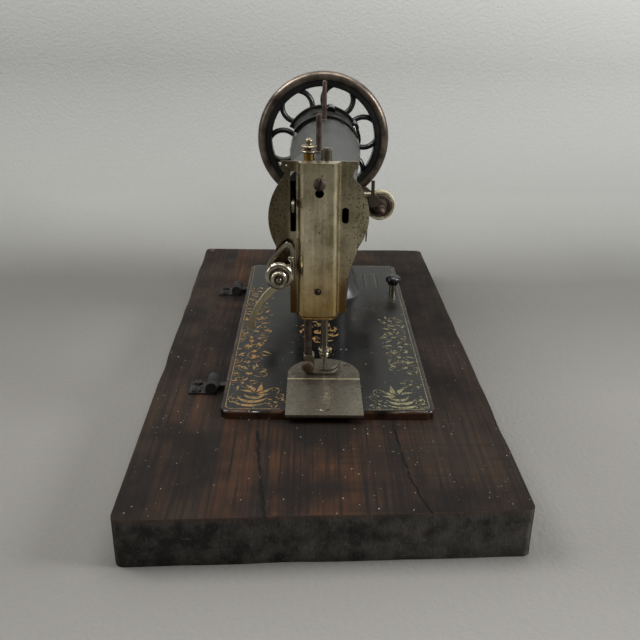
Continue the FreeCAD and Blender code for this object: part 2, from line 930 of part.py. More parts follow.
def hinge_lugs():
    """The two hinge halves on the bed: a middle knuckle on a tang set into the bed's back edge."""
    lugs = []
    for number, x in enumerate(HINGES_X, start=1):
        name = f"hinge_lug{number}"
        left = x - s.knuckle_length / 2
        barrel, bore = knuckle(name, left, s.knuckle_length, s.hinge_pin_radius + s.running_gap)
        tang_height = s.bed_thickness / 2
        tang = box(
            f"{name}_tang",
            at(left, HINGE_Y - s.hinge_reach, s.hinge_tang_lift - s.bed_thickness),
            s.knuckle_length,
            s.hinge_reach,
            tang_height,
        )
        lugs.append(cut(name, fuse(f"{name}_solid", barrel, tang), bore))
    return node("hinge_lugs", together("hinge_lugs_pair", *lugs))


def hinge_pins():
    pins = []
    for number, x in enumerate(HINGES_X, start=1):
        start = at(x - HINGE_WIDTH / 2, HINGE_Y, HINGE_Z)
        pins.append(rod(f"hinge_pin{number}", start, s.hinge_pin_radius, HINGE_WIDTH, "x"))
    return node("hinge_pins", together("hinge_pins_pair", *pins))


def slotted_screw(name, centre, radius, length, head, head_height, away):
    """A round-headed slotted screw. away is the axis and the side that its head faces."""
    along, side = away
    step = {"x": (1, 0, 0), "y": (0, 1, 0), "z": (0, 0, 1)}[along]
    shank_start = centre if side < 0 else tuple(c - length * n for c, n in zip(centre, step))
    head_start = centre if side > 0 else tuple(c - head_height * n for c, n in zip(centre, step))
    shank = rod(f"{name}_shank", shank_start, radius, length, along)
    if side > 0:
        top = cone(f"{name}_head", head_start, head, head * s.screw_face_share, head_height, along)
    else:
        top = cone(f"{name}_head", head_start, head * s.screw_face_share, head, head_height, along)
    half = s.screw_slot_width / 2
    outer = side * (head_height - s.screw_slot_depth)
    lengths = {
        "x": (s.screw_slot_depth, s.screw_slot_width, head * 2),
        "y": (s.screw_slot_width, s.screw_slot_depth, head * 2),
        "z": (head * 2, s.screw_slot_width, s.screw_slot_depth),
    }[along]
    low = outer if side > 0 else outer - s.screw_slot_depth
    corner = {
        "x": (centre[0] + low, centre[1] - half, centre[2] - head),
        "y": (centre[0] - half, centre[1] + low, centre[2] - head),
        "z": (centre[0] - head, centre[1] - half, centre[2] + low),
    }[along]
    slot = box(f"{name}_slot", corner, *lengths)
    return cut(name, fuse(f"{name}_blank", shank, top), slot)


def hinge_screws():
    screws = []
    for number, (x, y) in enumerate(hinge_screw_places(), start=1):
        centre = (x, y, s.board_thickness + s.hinge_plate_thickness)
        screws.append(
            slotted_screw(
                f"hinge_screw{number}",
                centre,
                s.hinge_screw_radius,
                s.hinge_screw_length,
                s.hinge_screw_head,
                s.hinge_screw_radius,
                ("z", 1),
            )
        )
    return node("hinge_screws", together("hinge_screws_set", *screws))


def corner_screw():
    """The screw left in the board's far back corner."""
    centre = (*CORNER_SCREW, s.board_thickness)
    screw = slotted_screw(
        "corner_screw_body",
        centre,
        s.corner_screw_radius,
        s.hinge_screw_length,
        s.hinge_screw_head,
        s.hinge_screw_radius,
        ("z", 1),
    )
    return node("corner_screw", screw)


# ---------------------------------------------------------------- bed and its plates
ROUND_X = BED_X + s.plate_round_x
PLATE_Y = NEEDLE_Y + s.plate_centre
BED_BACK = NEEDLE_Y + s.bed_width - s.bed_front
BED_FRONT = NEEDLE_Y - s.bed_front


def d_outline(left, gap):
    """The outline of the plates' seat: straight sides and one round end, grown by a gap."""
    radius = s.plate_radius + gap
    return [
        (left, PLATE_Y - radius),
        (ROUND_X, PLATE_Y - radius),
        arc((ROUND_X + radius, PLATE_Y), (ROUND_X, PLATE_Y + radius)),
        (left, PLATE_Y + radius),
    ]


def arm_bolt_places():
    for number in (0, 1):
        yield BED_X + s.arm_bolt_x + s.arm_bolt_spacing * number, NEEDLE_Y - s.barrel_centre


def plate_screw_places():
    for side in (-1, 1):
        yield BED_X + s.plate_screw_x, PLATE_Y + side * s.plate_screw_y


def cover_outline(gap):
    low_y = NEEDLE_Y - s.cover_y - s.cover_width / 2 - gap
    high_y = NEEDLE_Y - s.cover_y + s.cover_width / 2 + gap
    return rounded(
        BED_X + s.cover_x - gap, BED_X + s.cover_x + s.cover_length + gap, low_y, high_y, s.cover_corner + gap
    )


def bed():
    """The cast bed, with the plates' seat, the opening over the hook and the pillar's hole."""
    casting = Body("bed")
    casting.pad(
        "xy",
        BED_Z - s.bed_thickness,
        s.bed_thickness,
        rounded(BED_X, BED_X + s.bed_length, BED_FRONT, BED_BACK, s.bed_corner),
    )
    casting.fillet(s.bed_edge, on_bed_top)
    casting.pocket("xy", BED_Z, s.plate_recess, d_outline(BED_X - s.bed_edge, s.plate_gap))
    access = [
        (BED_X + s.access_margin, PLATE_Y - s.access_half_width),
        (BED_X + s.plate_joint_x, PLATE_Y - s.access_half_width),
        (BED_X + s.plate_joint_x, PLATE_Y - s.hook_slot_half_width),
        (BED_X + s.hook_slot_end, PLATE_Y - s.hook_slot_half_width),
        (BED_X + s.hook_slot_end, PLATE_Y + s.hook_slot_half_width),
        (BED_X + s.plate_joint_x, PLATE_Y + s.hook_slot_half_width),
        (BED_X + s.plate_joint_x, PLATE_Y + s.access_half_width),
        (BED_X + s.access_margin, PLATE_Y + s.access_half_width),
    ]
    casting.pocket("xy", BED_Z, s.bed_thickness, access)
    pillar_hole = rounded(
        BED_X + s.pillar_cavity_x,
        BED_X + s.pillar_cavity_x + s.pillar_cavity_length,
        NEEDLE_Y - s.barrel_centre - s.pillar_cavity_half,
        NEEDLE_Y - s.barrel_centre + s.pillar_cavity_half,
        s.cover_corner,
    )
    casting.pocket("xy", BED_Z, s.bed_thickness, pillar_hole)
    casting.pocket("xy", BED_Z, s.cover_thickness, cover_outline(s.plate_gap / 2))
    holes = [(place_xy, s.arm_bolt_radius) for place_xy in arm_bolt_places()]
    holes += [(place_xy, s.plate_screw_radius) for place_xy in plate_screw_places()]
    holes.append(((BED_X + s.knob_x, NEEDLE_Y - s.knob_y), s.knob_stem_radius + s.running_gap))
    casting.pocket("xy", BED_Z, s.bed_thickness, *holes)
    return node("bed", casting.body)


def cover_plate():
    """The flush plate set into the bed in front of the pillar."""
    thing = plate("cover_plate", "xy", BED_Z - s.cover_thickness, s.cover_thickness, cover_outline(0))
    return node("bed_cover_plate", thing)


def needle_plate():
    """The round-ended plate round the needle, with the needle hole and the feed slots."""
    left = BED_X + s.plate_joint_x + s.plate_gap
    level = BED_Z - s.plate_recess
    slot_half = s.feed_tooth_width / 2 + s.plate_gap
    needle_x = BED_X + s.needle_x
    travel = s.feed_tooth_length / 2
    outlines = [d_outline(left, 0), ((needle_x, NEEDLE_Y), s.wire_hole_radius)]
    for side in (-1, 1):
        centre = needle_x + side * s.feed_tooth_spacing / 2
        outlines.append(
            rounded(
                centre - slot_half,
                centre + slot_half,
                NEEDLE_Y - travel - s.plate_gap * 2,
                NEEDLE_Y + travel + s.feed_travel + s.plate_gap * 2,
                s.plate_gap,
            )
        )
    outlines += [(place_xy, s.plate_screw_radius) for place_xy in plate_screw_places()]
    sheet_metal = plate("needle_plate_sheet", "xy", level, s.plate_thickness, *outlines)
    sinks = [
        cone(
            f"needle_plate_sink{number}",
            (x, y, level + s.plate_thickness - s.plate_recess),
            s.plate_screw_radius,
            s.plate_screw_head,
            s.plate_recess,
        )
        for number, (x, y) in enumerate(plate_screw_places(), start=1)
    ]
    return node("needle_plate", cut("needle_plate_cut", sheet_metal, *sinks))


def plate_screws():
    screws = []
    level = BED_Z - s.plate_recess + s.plate_thickness
    for number, (x, y) in enumerate(plate_screw_places(), start=1):
        name = f"plate_screw{number}"
        shank = rod(
            f"{name}_shank", (x, y, level - s.plate_screw_length), s.plate_screw_radius, s.plate_screw_length
        )
        head = cone(
            f"{name}_head",
            (x, y, level - s.plate_recess),
            s.plate_screw_radius,
            s.plate_screw_head,
            s.plate_recess,
        )
        slot = box(
            f"{name}_slot",
            (x - s.plate_screw_head, y - s.screw_slot_width / 2, level - s.screw_slot_depth),
            s.plate_screw_head * 2,
            s.screw_slot_width,
            s.screw_slot_depth,
        )
        screws.append(cut(name, fuse(f"{name}_blank", shank, head), slot))
    return node("plate_screws", together("plate_screws_pair", *screws))


def slide_plate():
    """The sliding cover over the bobbin, with a crescent that a thumbnail catches."""
    level = BED_Z - s.plate_recess
    outline = [
        (BED_X - s.slide_overhang, PLATE_Y - s.plate_radius),
        (BED_X + s.plate_joint_x, PLATE_Y - s.plate_radius),
        (BED_X + s.plate_joint_x, PLATE_Y + s.plate_radius),
        (BED_X - s.slide_overhang, PLATE_Y + s.plate_radius),
    ]
    sheet_metal = plate("slide_plate_sheet", "xy", level, s.plate_thickness, outline)
    start = (BED_X + s.slide_notch_x, PLATE_Y, level + s.plate_thickness / 2)
    ring = rod("slide_notch_out", start, s.slide_notch_radius, s.plate_thickness)
    core = rod(
        "slide_notch_in",
        (start[0] + s.slide_notch_width, start[1], start[2]),
        s.slide_notch_radius,
        s.plate_thickness,
    )
    return node("slide_plate", cut("slide_plate_cut", sheet_metal, cut("slide_notch", ring, core)))


# ---------------------------------------------------------------- arm
HEAD_END = s.head_face_x + s.head_depth
SHAFT = (-s.shaft_y, s.shaft_z)


def section(front, back, under, top, low_radius, high_radius):
    """One section of the arm, across it."""
    return rounded(
        NEEDLE_Y - front, NEEDLE_Y + back, BED_Z + under, BED_Z + top, low_radius, high_radius
    )


def head_section(x_end, front, back, radius):
    return rounded(BED_X + s.head_face_x, BED_X + x_end, NEEDLE_Y - front, NEEDLE_Y + back, radius)


def pillar_section(inset):
    return rounded(
        BED_X + s.pillar_near_x + inset,
        BED_X + s.pillar_far_x - inset,
        NEEDLE_Y - s.pillar_front + inset,
        NEEDLE_Y + s.pillar_back - inset,
        s.pillar_round,
    )


def barrel_section(shrink):
    """A section that is all but round."""
    radius = s.barrel_radius - shrink
    centre_z = s.arm_top - s.barrel_radius
    corner = radius - s.hinge_gap
    return section(
        s.barrel_centre + radius,
        radius - s.barrel_centre,
        centre_z - radius,
        centre_z + radius,
        corner,
        corner,
    )


def arm():
    """The hollow casting: head, horizontal arm and pillar."""
    casting = Body("arm")
    upper = section(
        s.head_front, s.head_back, s.arm_under, s.arm_top, s.head_wall * 2, s.head_round
    )
    neck = section(
        s.barrel_centre + s.arm_neck_half,
        s.arm_neck_half - s.barrel_centre,
        s.arm_under + s.head_wall,
        s.arm_top,
        s.arm_neck_round,
        s.arm_neck_round,
    )
    casting.loft(
        "yz",
        (BED_X + s.head_face_x, upper),
        (BED_X + HEAD_END, upper),
        (BED_X + s.arm_neck_x, neck),
        (BED_X + s.barrel_x, barrel_section(0)),
        (BED_X + s.barrel_end_x - s.barrel_end_wall, barrel_section(0)),
        (BED_X + s.barrel_end_x, barrel_section(s.barrel_taper)),
    )
    low_head = head_section(HEAD_END - s.head_low_front, s.head_low_front, s.head_low_back, s.head_floor)
    high_head = head_section(HEAD_END, s.head_front, s.head_back, s.head_floor)
    casting.loft("xy", (BED_Z + s.head_bottom, low_head), (BED_Z + s.arm_under + s.head_overlap, high_head))
    casting.loft(
        "xy",
        (BED_Z, pillar_section(0)),
        (BED_Z + s.pillar_foot_height, pillar_section(s.pillar_flare * s.pillar_foot_share)),
        (BED_Z + s.pillar_flare_height, pillar_section(s.pillar_flare)),
        (BED_Z + s.shaft_z - s.arm_bore, pillar_section(s.pillar_flare * s.pillar_top_share)),
    )
    hollow_arm(casting)
    arm_bosses(casting)
    return node("arm", casting.body)


def hollow_arm(casting):
    """Cuts the head's cavity, the shaft's bore, the pillar's cavity and every hole."""
    upper_end = HEAD_END - s.head_wall
    upper = rounded(
        NEEDLE_Y - s.head_front + s.head_wall,
        NEEDLE_Y + s.head_back - s.head_wall,
        BED_Z + s.arm_under + s.head_wall,
        BED_Z + s.arm_top - s.head_floor,
        s.head_wall,
        s.head_round - s.head_wall,
    )
    casting.pocket("yz", BED_X + upper_end, upper_end - s.head_face_x, upper)
    lower_end = HEAD_END - s.head_low_front - s.head_wall
    lower = rounded(
        NEEDLE_Y - s.head_low_front + s.head_wall,
        NEEDLE_Y + s.head_low_back - s.head_wall,
        BED_Z + s.head_bottom + s.head_floor,
        BED_Z + s.arm_under + s.head_wall * 2,
        s.head_wall / 2,
    )
    casting.pocket("yz", BED_X + lower_end, lower_end - s.head_face_x, lower)
    centre = (NEEDLE_Y + SHAFT[0], BED_Z + SHAFT[1])
    casting.pocket("yz", BED_X + s.barrel_wall_x, s.barrel_wall_x - upper_end, (centre, s.arm_bore))
    bore_end = s.barrel_end_x - s.barrel_end_wall
    casting.pocket("yz", BED_X + bore_end, bore_end - s.barrel_wall_x, (centre, s.barrel_bore))
    casting.pocket("yz", BED_X + s.barrel_end_x, s.barrel_end_wall, (centre, s.rear_bushing_radius))
    pillar = rounded(
        BED_X + s.pillar_cavity_x,
        BED_X + s.pillar_cavity_x + s.pillar_cavity_length,
        NEEDLE_Y - s.barrel_centre - s.pillar_cavity_half,
        NEEDLE_Y - s.barrel_centre + s.pillar_cavity_half,
        s.cover_corner,
    )
    casting.pocket("xy", BED_Z + s.shaft_z, s.shaft_z, pillar)
    needle = (BED_X + s.needle_x, NEEDLE_Y)
    presser = (BED_X + s.presser_x, NEEDLE_Y + s.presser_y)
    casting.pocket("xy", BED_Z + s.arm_top, s.arm_top - s.head_bottom, (needle, s.bushing_radius))
    casting.pocket("xy", BED_Z + s.arm_top, s.head_floor * 2, (presser, s.pressure_screw_radius))
    casting.pocket(
        "xy",
        BED_Z + s.head_bottom + s.head_floor * 2,
        s.head_floor * 2,
        (presser, s.presser_bar_radius + s.running_gap),
    )
    pins = [
        ((BED_X + s.rear_pin_x, NEEDLE_Y - s.rear_pin_y), s.spool_pin_radius),
        ((BED_X + s.front_pin_x, NEEDLE_Y + s.front_pin_y), s.spool_pin_radius),
    ]
    casting.pocket("xy", BED_Z + s.arm_top, s.pin_root, *pins)
    bolts = [(place_xy, s.arm_bolt_radius) for place_xy in arm_bolt_places()]
    casting.pocket("xy", BED_Z + s.arm_bolt_length, s.arm_bolt_length, *bolts)
    slot_top = s.lifter_z + s.lifter_reach_y - s.lifter_y
    slot = [
        (NEEDLE_Y + s.lifter_y, BED_Z + s.head_bottom + s.head_floor),
        (NEEDLE_Y + s.head_back + s.head_wall, BED_Z + s.head_bottom + s.head_floor),
        (NEEDLE_Y + s.head_back + s.head_wall, BED_Z + slot_top),
        (NEEDLE_Y + s.lifter_y, BED_Z + slot_top),
    ]
    slot_end = s.lifter_x + s.lifter_thickness + s.hinge_gap * 2
    casting.pocket("yz", BED_X + slot_end, slot_end - s.head_face_x, slot)
    take_up = (BED_X + s.take_up_pivot_x, BED_Z + s.take_up_z)
    casting.pocket("xz", NEEDLE_Y + s.slot_y, s.head_back, (take_up, s.take_up_pin_radius))


def arm_bosses(casting):
    """Adds the bosses for the face plate, the lifter, the belt guard and the winder, and their holes."""
    start = s.face_boss_end - s.head_face_x + s.channel_depth
    near = s.face_boss_end - start
    half = s.face_boss_radius * s.slot_end_share
    high = face_point(s.face_screw_y, s.face_screw_z)
    low = face_point(s.face_screw_y, s.face_screw_low_z)
    casting.pad("yz", BED_X + near, start, (high, s.face_boss_radius))
    casting.pad("yz", BED_X + near, start, (low, s.face_boss_radius))
    top_rib = rounded(
        high[0] - half, high[0] + half, high[1], BED_Z + s.arm_top - s.head_floor / 2, s.hinge_gap
    )
    low_rib = rounded(
        low[0] - half, low[0] + half, BED_Z + s.head_bottom + s.head_floor / 2, low[1], s.hinge_gap
    )
    rib_depth = s.face_boss_end - s.head_face_x
    casting.pad("yz", BED_X + s.head_face_x, rib_depth, top_rib)
    casting.pad("yz", BED_X + s.head_face_x, rib_depth, low_rib)
    casting.pocket(
        "yz",
        BED_X + CHANNEL_X + s.face_screw_length,
        s.face_screw_length,
        (high, s.face_screw_radius),
        (low, s.face_screw_radius),
    )
    lifter = face_point(s.lifter_y, s.lifter_z)
    lifter_start = s.lifter_x + s.lifter_thickness + s.hinge_gap * 2
    lifter_depth = s.lifter_boss_end - lifter_start
    casting.pad("yz", BED_X + lifter_start, lifter_depth, (lifter, s.lifter_boss_radius))
    casting.pocket("yz", BED_X + s.lifter_boss_end, lifter_depth, (lifter, s.lifter_pin_radius))
    guard_depth = s.guard_x - s.guard_lug_x
    for angle in GUARD_SCREW_ANGLES:
        spot = face_point(*on_guard(angle))
        casting.pad("yz", BED_X + s.guard_lug_x, guard_depth, (spot, s.guard_lug_radius))
        casting.pocket("yz", BED_X + s.guard_x, s.guard_screw_root, (spot, s.guard_hole))
    seat_half = s.winder_foot_height / 2
    seat = rounded(
        BED_X + s.winder_foot_x,
        BED_X + s.winder_foot_x + s.winder_seat_length,
        BED_Z + s.winder_pivot_z - seat_half,
        BED_Z + s.winder_pivot_z + seat_half,
        s.hinge_gap,
    )
    casting.pad("xz", NEEDLE_Y - s.winder_foot_y + s.winder_seat_depth, s.winder_seat_depth, seat)
    relief = rounded(
        NEEDLE_Y + s.slot_y - s.slot_width / 2,
        NEEDLE_Y + s.slot_y + s.slot_width / 2,
        BED_Z + s.slot_low,
        BED_Z + s.relief_top,
        s.hinge_gap,
    )
    relief_end = HEAD_END - s.head_wall
    casting.pocket("yz", BED_X + relief_end, relief_end - s.head_face_x, relief)


# ---------------------------------------------------------------- face plate
FLANGE_X = s.head_face_x - s.face_thickness
CHANNEL_X = FLANGE_X - s.channel_depth
CHANNEL_LOW = s.channel_centre - s.channel_width / 2
CHANNEL_HIGH = s.channel_centre + s.channel_width / 2


def face_point(y, z):
    return (NEEDLE_Y + y, BED_Z + z)


def face_flange():
    """The flat of the face plate, waisted above and below its broad middle."""
    return [
        face_point(-s.flange_front_foot, s.face_bottom),
        face_point(s.flange_foot, s.face_bottom),
        face_point(s.flange_foot, s.flange_step_z),
        face_point(s.flange_ear, s.flange_ear_low_z),
        face_point(s.flange_ear, s.flange_ear_high_z),
        face_point(s.flange_waist, s.flange_waist_z),
        arc(face_point(s.flange_bulge, s.flange_bulge_z), face_point(s.flange_neck, s.flange_neck_z)),
        arc(face_point(s.flange_cove, s.flange_cove_z), face_point(s.flange_cap, s.flange_cap_z)),
        face_point(s.flange_cap, s.face_top),
        face_point(-s.flange_front_cap, s.face_top),
        face_point(-s.flange_front_cap, s.flange_cap_z),
        arc(
            face_point(-s.flange_front_cove, s.flange_cove_z),
            face_point(-s.flange_front_neck, s.flange_neck_z),
        ),
        arc(
            face_point(-s.flange_front_bulge, s.flange_bulge_z),
            face_point(-s.flange_front_waist, s.flange_waist_z),
        ),
        face_point(-s.flange_front_step, s.flange_front_step_z),
        face_point(-s.flange_front_foot, s.flange_step_z),
    ]


def face_plate():
    """The sheet over the head's open end, with a raised channel in front of the two bars."""
    flange = plate("face_flange", "yz", BED_X + FLANGE_X, s.face_thickness, face_flange())
    outer = rounded(
        NEEDLE_Y + CHANNEL_LOW,
        NEEDLE_Y + CHANNEL_HIGH,
        BED_Z + s.channel_bottom,
        BED_Z + s.channel_top,
        s.channel_round,
    )
    wall = s.face_thickness
    inner = rounded(
        NEEDLE_Y + CHANNEL_LOW + wall,
        NEEDLE_Y + CHANNEL_HIGH - wall,
        BED_Z + s.channel_bottom + wall,
        BED_Z + s.channel_top - wall,
        s.channel_round - wall,
    )
    channel = plate("face_channel", "yz", BED_X + CHANNEL_X, s.channel_depth + wall, outer)
    inside = plate("face_inside", "yz", BED_X + CHANNEL_X + wall, s.channel_depth, inner)
    slot_half = s.slot_width / 2
    oval_half = s.oval_width / 2
    oval_reach = s.oval_height / 2
    holes = plate(
        "face_holes",
        "yz",
        BED_X + CHANNEL_X,
        s.channel_depth + wall,
        (face_point(s.face_screw_y, s.face_screw_z), s.face_screw_radius),
        (face_point(s.face_screw_y, s.face_screw_low_z), s.face_screw_radius),
        (face_point(s.face_screw_y, s.keyhole_z), s.keyhole_radius),
        (face_point(s.wire_hole_y, s.wire_hole_z), s.wire_hole_radius),
        (face_point(s.tension_y, s.tension_z), s.tension_stud_radius),
        rounded(
            NEEDLE_Y + s.slot_y - slot_half,
            NEEDLE_Y + s.slot_y + slot_half,
            BED_Z + s.slot_low,
            BED_Z + s.slot_high,
            slot_half * s.slot_end_share,
        ),
        rounded(
            NEEDLE_Y - s.oval_y - oval_half,
            NEEDLE_Y - s.oval_y + oval_half,
            BED_Z + s.oval_z - oval_reach,
            BED_Z + s.oval_z + oval_reach,
            oval_half * s.slot_end_share,
        ),
    )
    return node("face_plate", cut("face_plate_cut", fuse("face_plate_blank", flange, channel), inside, holes))


def face_plate_screws():
    screws = []
    for number, z in enumerate((s.face_screw_z, s.face_screw_low_z), start=1):
        screws.append(
            slotted_screw(
                f"face_screw{number}",
                at(CHANNEL_X, s.face_screw_y, z),
                s.face_screw_radius,
                s.face_screw_length,
                s.face_screw_head,
                s.face_screw_head_height,
                ("x", -1),
            )
        )
    return node("face_plate_screws", together("face_plate_screws_pair", *screws))


def arm_bolts():
    """The two bolts that hold the pillar down, from under the bed."""
    bolts = []
    for number, (x, y) in enumerate(arm_bolt_places(), start=1):
        length = s.bed_thickness + s.arm_bolt_length
        shank = rod(f"arm_bolt{number}_shank", (x, y, BED_Z - s.bed_thickness), s.arm_bolt_radius, length)
        head_start = (x, y, BED_Z - s.bed_thickness - s.arm_bolt_head_height)
        head = bind(
            doc.addObject("Part::Prism", f"arm_bolt{number}_head"),
            Circumradius=s.arm_bolt_head,
            Height=s.arm_bolt_head_height,
        )
        head.Polygon = HEX_SIDES
        place(head, head_start, TURN["z"])
        bolts.append(fuse(f"arm_bolt{number}", shank, head))
    return node("arm_bolts", together("arm_bolts_pair", *bolts))


def tube(name, start, radius, bore, length, along="z"):
    outside = rod(f"{name}_out", start, radius, length, along)
    inside = rod(f"{name}_in", start, bore, length, along)
    return cut(name, outside, inside)


# ---------------------------------------------------------------- needle bar and its drive
CRANK_REACH = s.needle_stroke / 2
PIN_Z = s.shaft_z - CRANK_REACH
LINK_X = s.needle_x + s.collar_radius - s.link_sink
LINK_END = LINK_X + s.link_thickness


def needle_bar():
    start = at(s.needle_x, 0, s.needle_bar_bottom)
    length = s.needle_bar_top - s.needle_bar_bottom
    return node("needle_bar", rod("needle_bar_rod", start, s.needle_bar_radius, length))


def needle_bar_bushings():
    bore = s.needle_bar_radius + s.running_gap
    top_start = s.arm_top - s.head_floor
    top = tube(
        "top_bushing", at(s.needle_x, 0, top_start), s.bushing_radius, bore, s.head_floor + s.bushing_stand
    )
    low_start = s.head_bottom - s.bushing_drop
    low = tube(
        "low_bushing", at(s.needle_x, 0, low_start), s.bushing_radius, bore, s.head_floor * 2 + s.bushing_drop
    )
    return node("needle_bar_bushings", together("needle_bar_bushings_pair", top, low))


def needle_link():
    """The collar clamped on the needle bar and the link up to the crank pin."""
    collar = rod("link_collar", at(s.needle_x, 0, s.collar_z), s.collar_radius, s.collar_height)
    centre = (NEEDLE_Y - s.shaft_y, BED_Z + PIN_Z)
    low = BED_Z + s.collar_z
    half = s.collar_radius - s.link_sink
    eye = s.link_eye
    outline = [
        (NEEDLE_Y - half, low),
        (NEEDLE_Y + half, low),
        (centre[0] + eye, centre[1]),
        arc((centre[0], centre[1] + eye), (centre[0] - eye, centre[1])),
    ]
    strip = plate("link_strip", "yz", BED_X + LINK_X, s.link_thickness, outline, (centre, s.crank_pin_radius))
    bore = rod("link_bore", at(s.needle_x, 0, s.collar_z), s.needle_bar_radius, s.collar_height)
    return node("needle_link", cut("needle_link_cut", fuse("needle_link_blank", collar, strip), bore))


def needle_clamp():
    body = rod("clamp_body", at(s.needle_x, 0, s.clamp_bottom), s.clamp_radius, s.clamp_height)
    seat_height = s.clamp_bottom + s.clamp_height - s.needle_bar_bottom
    seat = rod("clamp_seat", at(s.needle_x, 0, s.needle_bar_bottom), s.needle_bar_radius, seat_height)
    hole = rod("clamp_hole", at(s.needle_x, 0, s.clamp_bottom), s.needle_shank, s.clamp_height)
    thread_length = s.clamp_radius - s.needle_bar_radius
    thread = rod(
        "clamp_thread",
        at(s.needle_x, -s.clamp_radius, s.clamp_screw_z),
        s.clamp_screw_radius,
        thread_length,
        "y",
    )
    return node("needle_clamp", cut("needle_clamp_cut", body, seat, hole, thread))


def clamp_screw():
    screw = slotted_screw(
        "clamp_screw_body",
        at(s.needle_x, -s.clamp_radius, s.clamp_screw_z),
        s.clamp_screw_radius,
        s.clamp_radius - s.needle_bar_radius,
        s.clamp_screw_head,
        s.clamp_screw_radius,
        ("y", -1),
    )
    return node("clamp_screw", screw)


def needle():
    """Round shank, thinner blade and a point below the plates."""
    shank_length = s.needle_bar_bottom - s.needle_shank_z
    shank = rod("needle_shank_rod", at(s.needle_x, 0, s.needle_shank_z), s.needle_shank, shank_length)
    taper = cone(
        "needle_taper",
        at(s.needle_x, 0, s.needle_shank_z - s.needle_shank),
        s.needle_blade,
        s.needle_shank,
        s.needle_shank,
    )
    blade_low = s.needle_point_length - s.needle_point_z
    blade = rod(
        "needle_blade_rod",
        at(s.needle_x, 0, blade_low),
        s.needle_blade,
        s.needle_shank_z - s.needle_shank - blade_low,
    )
    tip = cone(
        "needle_tip",
        at(s.needle_x, 0, -s.needle_point_z),
        s.needle_tip,
        s.needle_blade,
        s.needle_point_length,
    )
    return node("needle", fuse("needle_whole", shank, taper, blade, tip))


def main_shaft():
    """The shaft from the needle crank to the handwheel, with the eccentric and the stop screw's bore."""
    start = at(s.crank_disc_x, SHAFT[0], SHAFT[1])
    bar = rod("shaft_bar", start, s.shaft_radius, s.shaft_end_x - s.crank_disc_x, "x")
    cam_start = at(s.eccentric_x, SHAFT[0], SHAFT[1] - s.eccentric_throw)
    cam = rod("shaft_eccentric", cam_start, s.eccentric_radius, s.eccentric_length, "x")
    bore_start = at(s.shaft_end_x - s.stop_stem_length, SHAFT[0], SHAFT[1])
    bore = rod("shaft_bore", bore_start, s.stop_stem_radius + s.running_gap, s.stop_stem_length, "x")
    return node("main_shaft", cut("main_shaft_cut", fuse("main_shaft_blank", bar, cam), bore))


def shaft_bushings():
    bore = s.shaft_radius + s.running_gap
    front = tube(
        "front_bushing",
        at(s.front_bushing_x, SHAFT[0], SHAFT[1]),
        s.arm_bore,
        bore,
        s.front_bushing_length,
        "x",
    )
    rear_start = s.barrel_end_x - s.barrel_end_wall
    rear_length = s.barrel_end_wall + s.rear_bushing_stand
    rear = tube(
        "rear_bushing", at(rear_start, SHAFT[0], SHAFT[1]), s.rear_bushing_radius, bore, rear_length, "x"
    )
    return node("shaft_bushings", together("shaft_bushings_pair", front, rear))


def needle_crank():
    """The disc with the crank pin, and the drum with the take-up's cam groove."""
    disc = rod(
        "crank_disc", at(s.crank_disc_x, SHAFT[0], SHAFT[1]), s.crank_disc_radius, s.crank_disc_thickness, "x"
    )
    drum_x = s.crank_disc_x + s.crank_disc_thickness
    drum = rod("crank_drum", at(drum_x, SHAFT[0], SHAFT[1]), s.cam_radius, s.cam_length, "x")
    pin_x = LINK_END + s.pivot_gap
    pin = rod("crank_pin", at(pin_x, SHAFT[0], PIN_Z), s.crank_pin_radius, s.crank_disc_x - pin_x, "x")
    length = s.crank_disc_thickness + s.cam_length
    bore = rod("crank_bore", at(s.crank_disc_x, SHAFT[0], SHAFT[1]), s.shaft_radius, length, "x")
    groove_out = rod(
        "crank_groove_out",
        at(s.follower_x - s.follower_radius, SHAFT[0], SHAFT[1]),
        s.cam_radius,
        s.follower_radius * 2,
        "x",
    )
    groove_in = rod(
        "crank_groove_in",
        at(s.follower_x - s.follower_radius, SHAFT[0], SHAFT[1]),
        s.cam_radius - s.link_thickness,
        s.follower_radius * 2,
        "x",
    )
    groove = cut("crank_groove", groove_out, groove_in)
    blank = fuse("needle_crank_blank", disc, drum, pin)
    return node("needle_crank", cut("needle_crank_cut", blank, bore, groove))


# ---------------------------------------------------------------- take-up lever
LEVER_Y = s.slot_y - s.take_up_thickness / 2


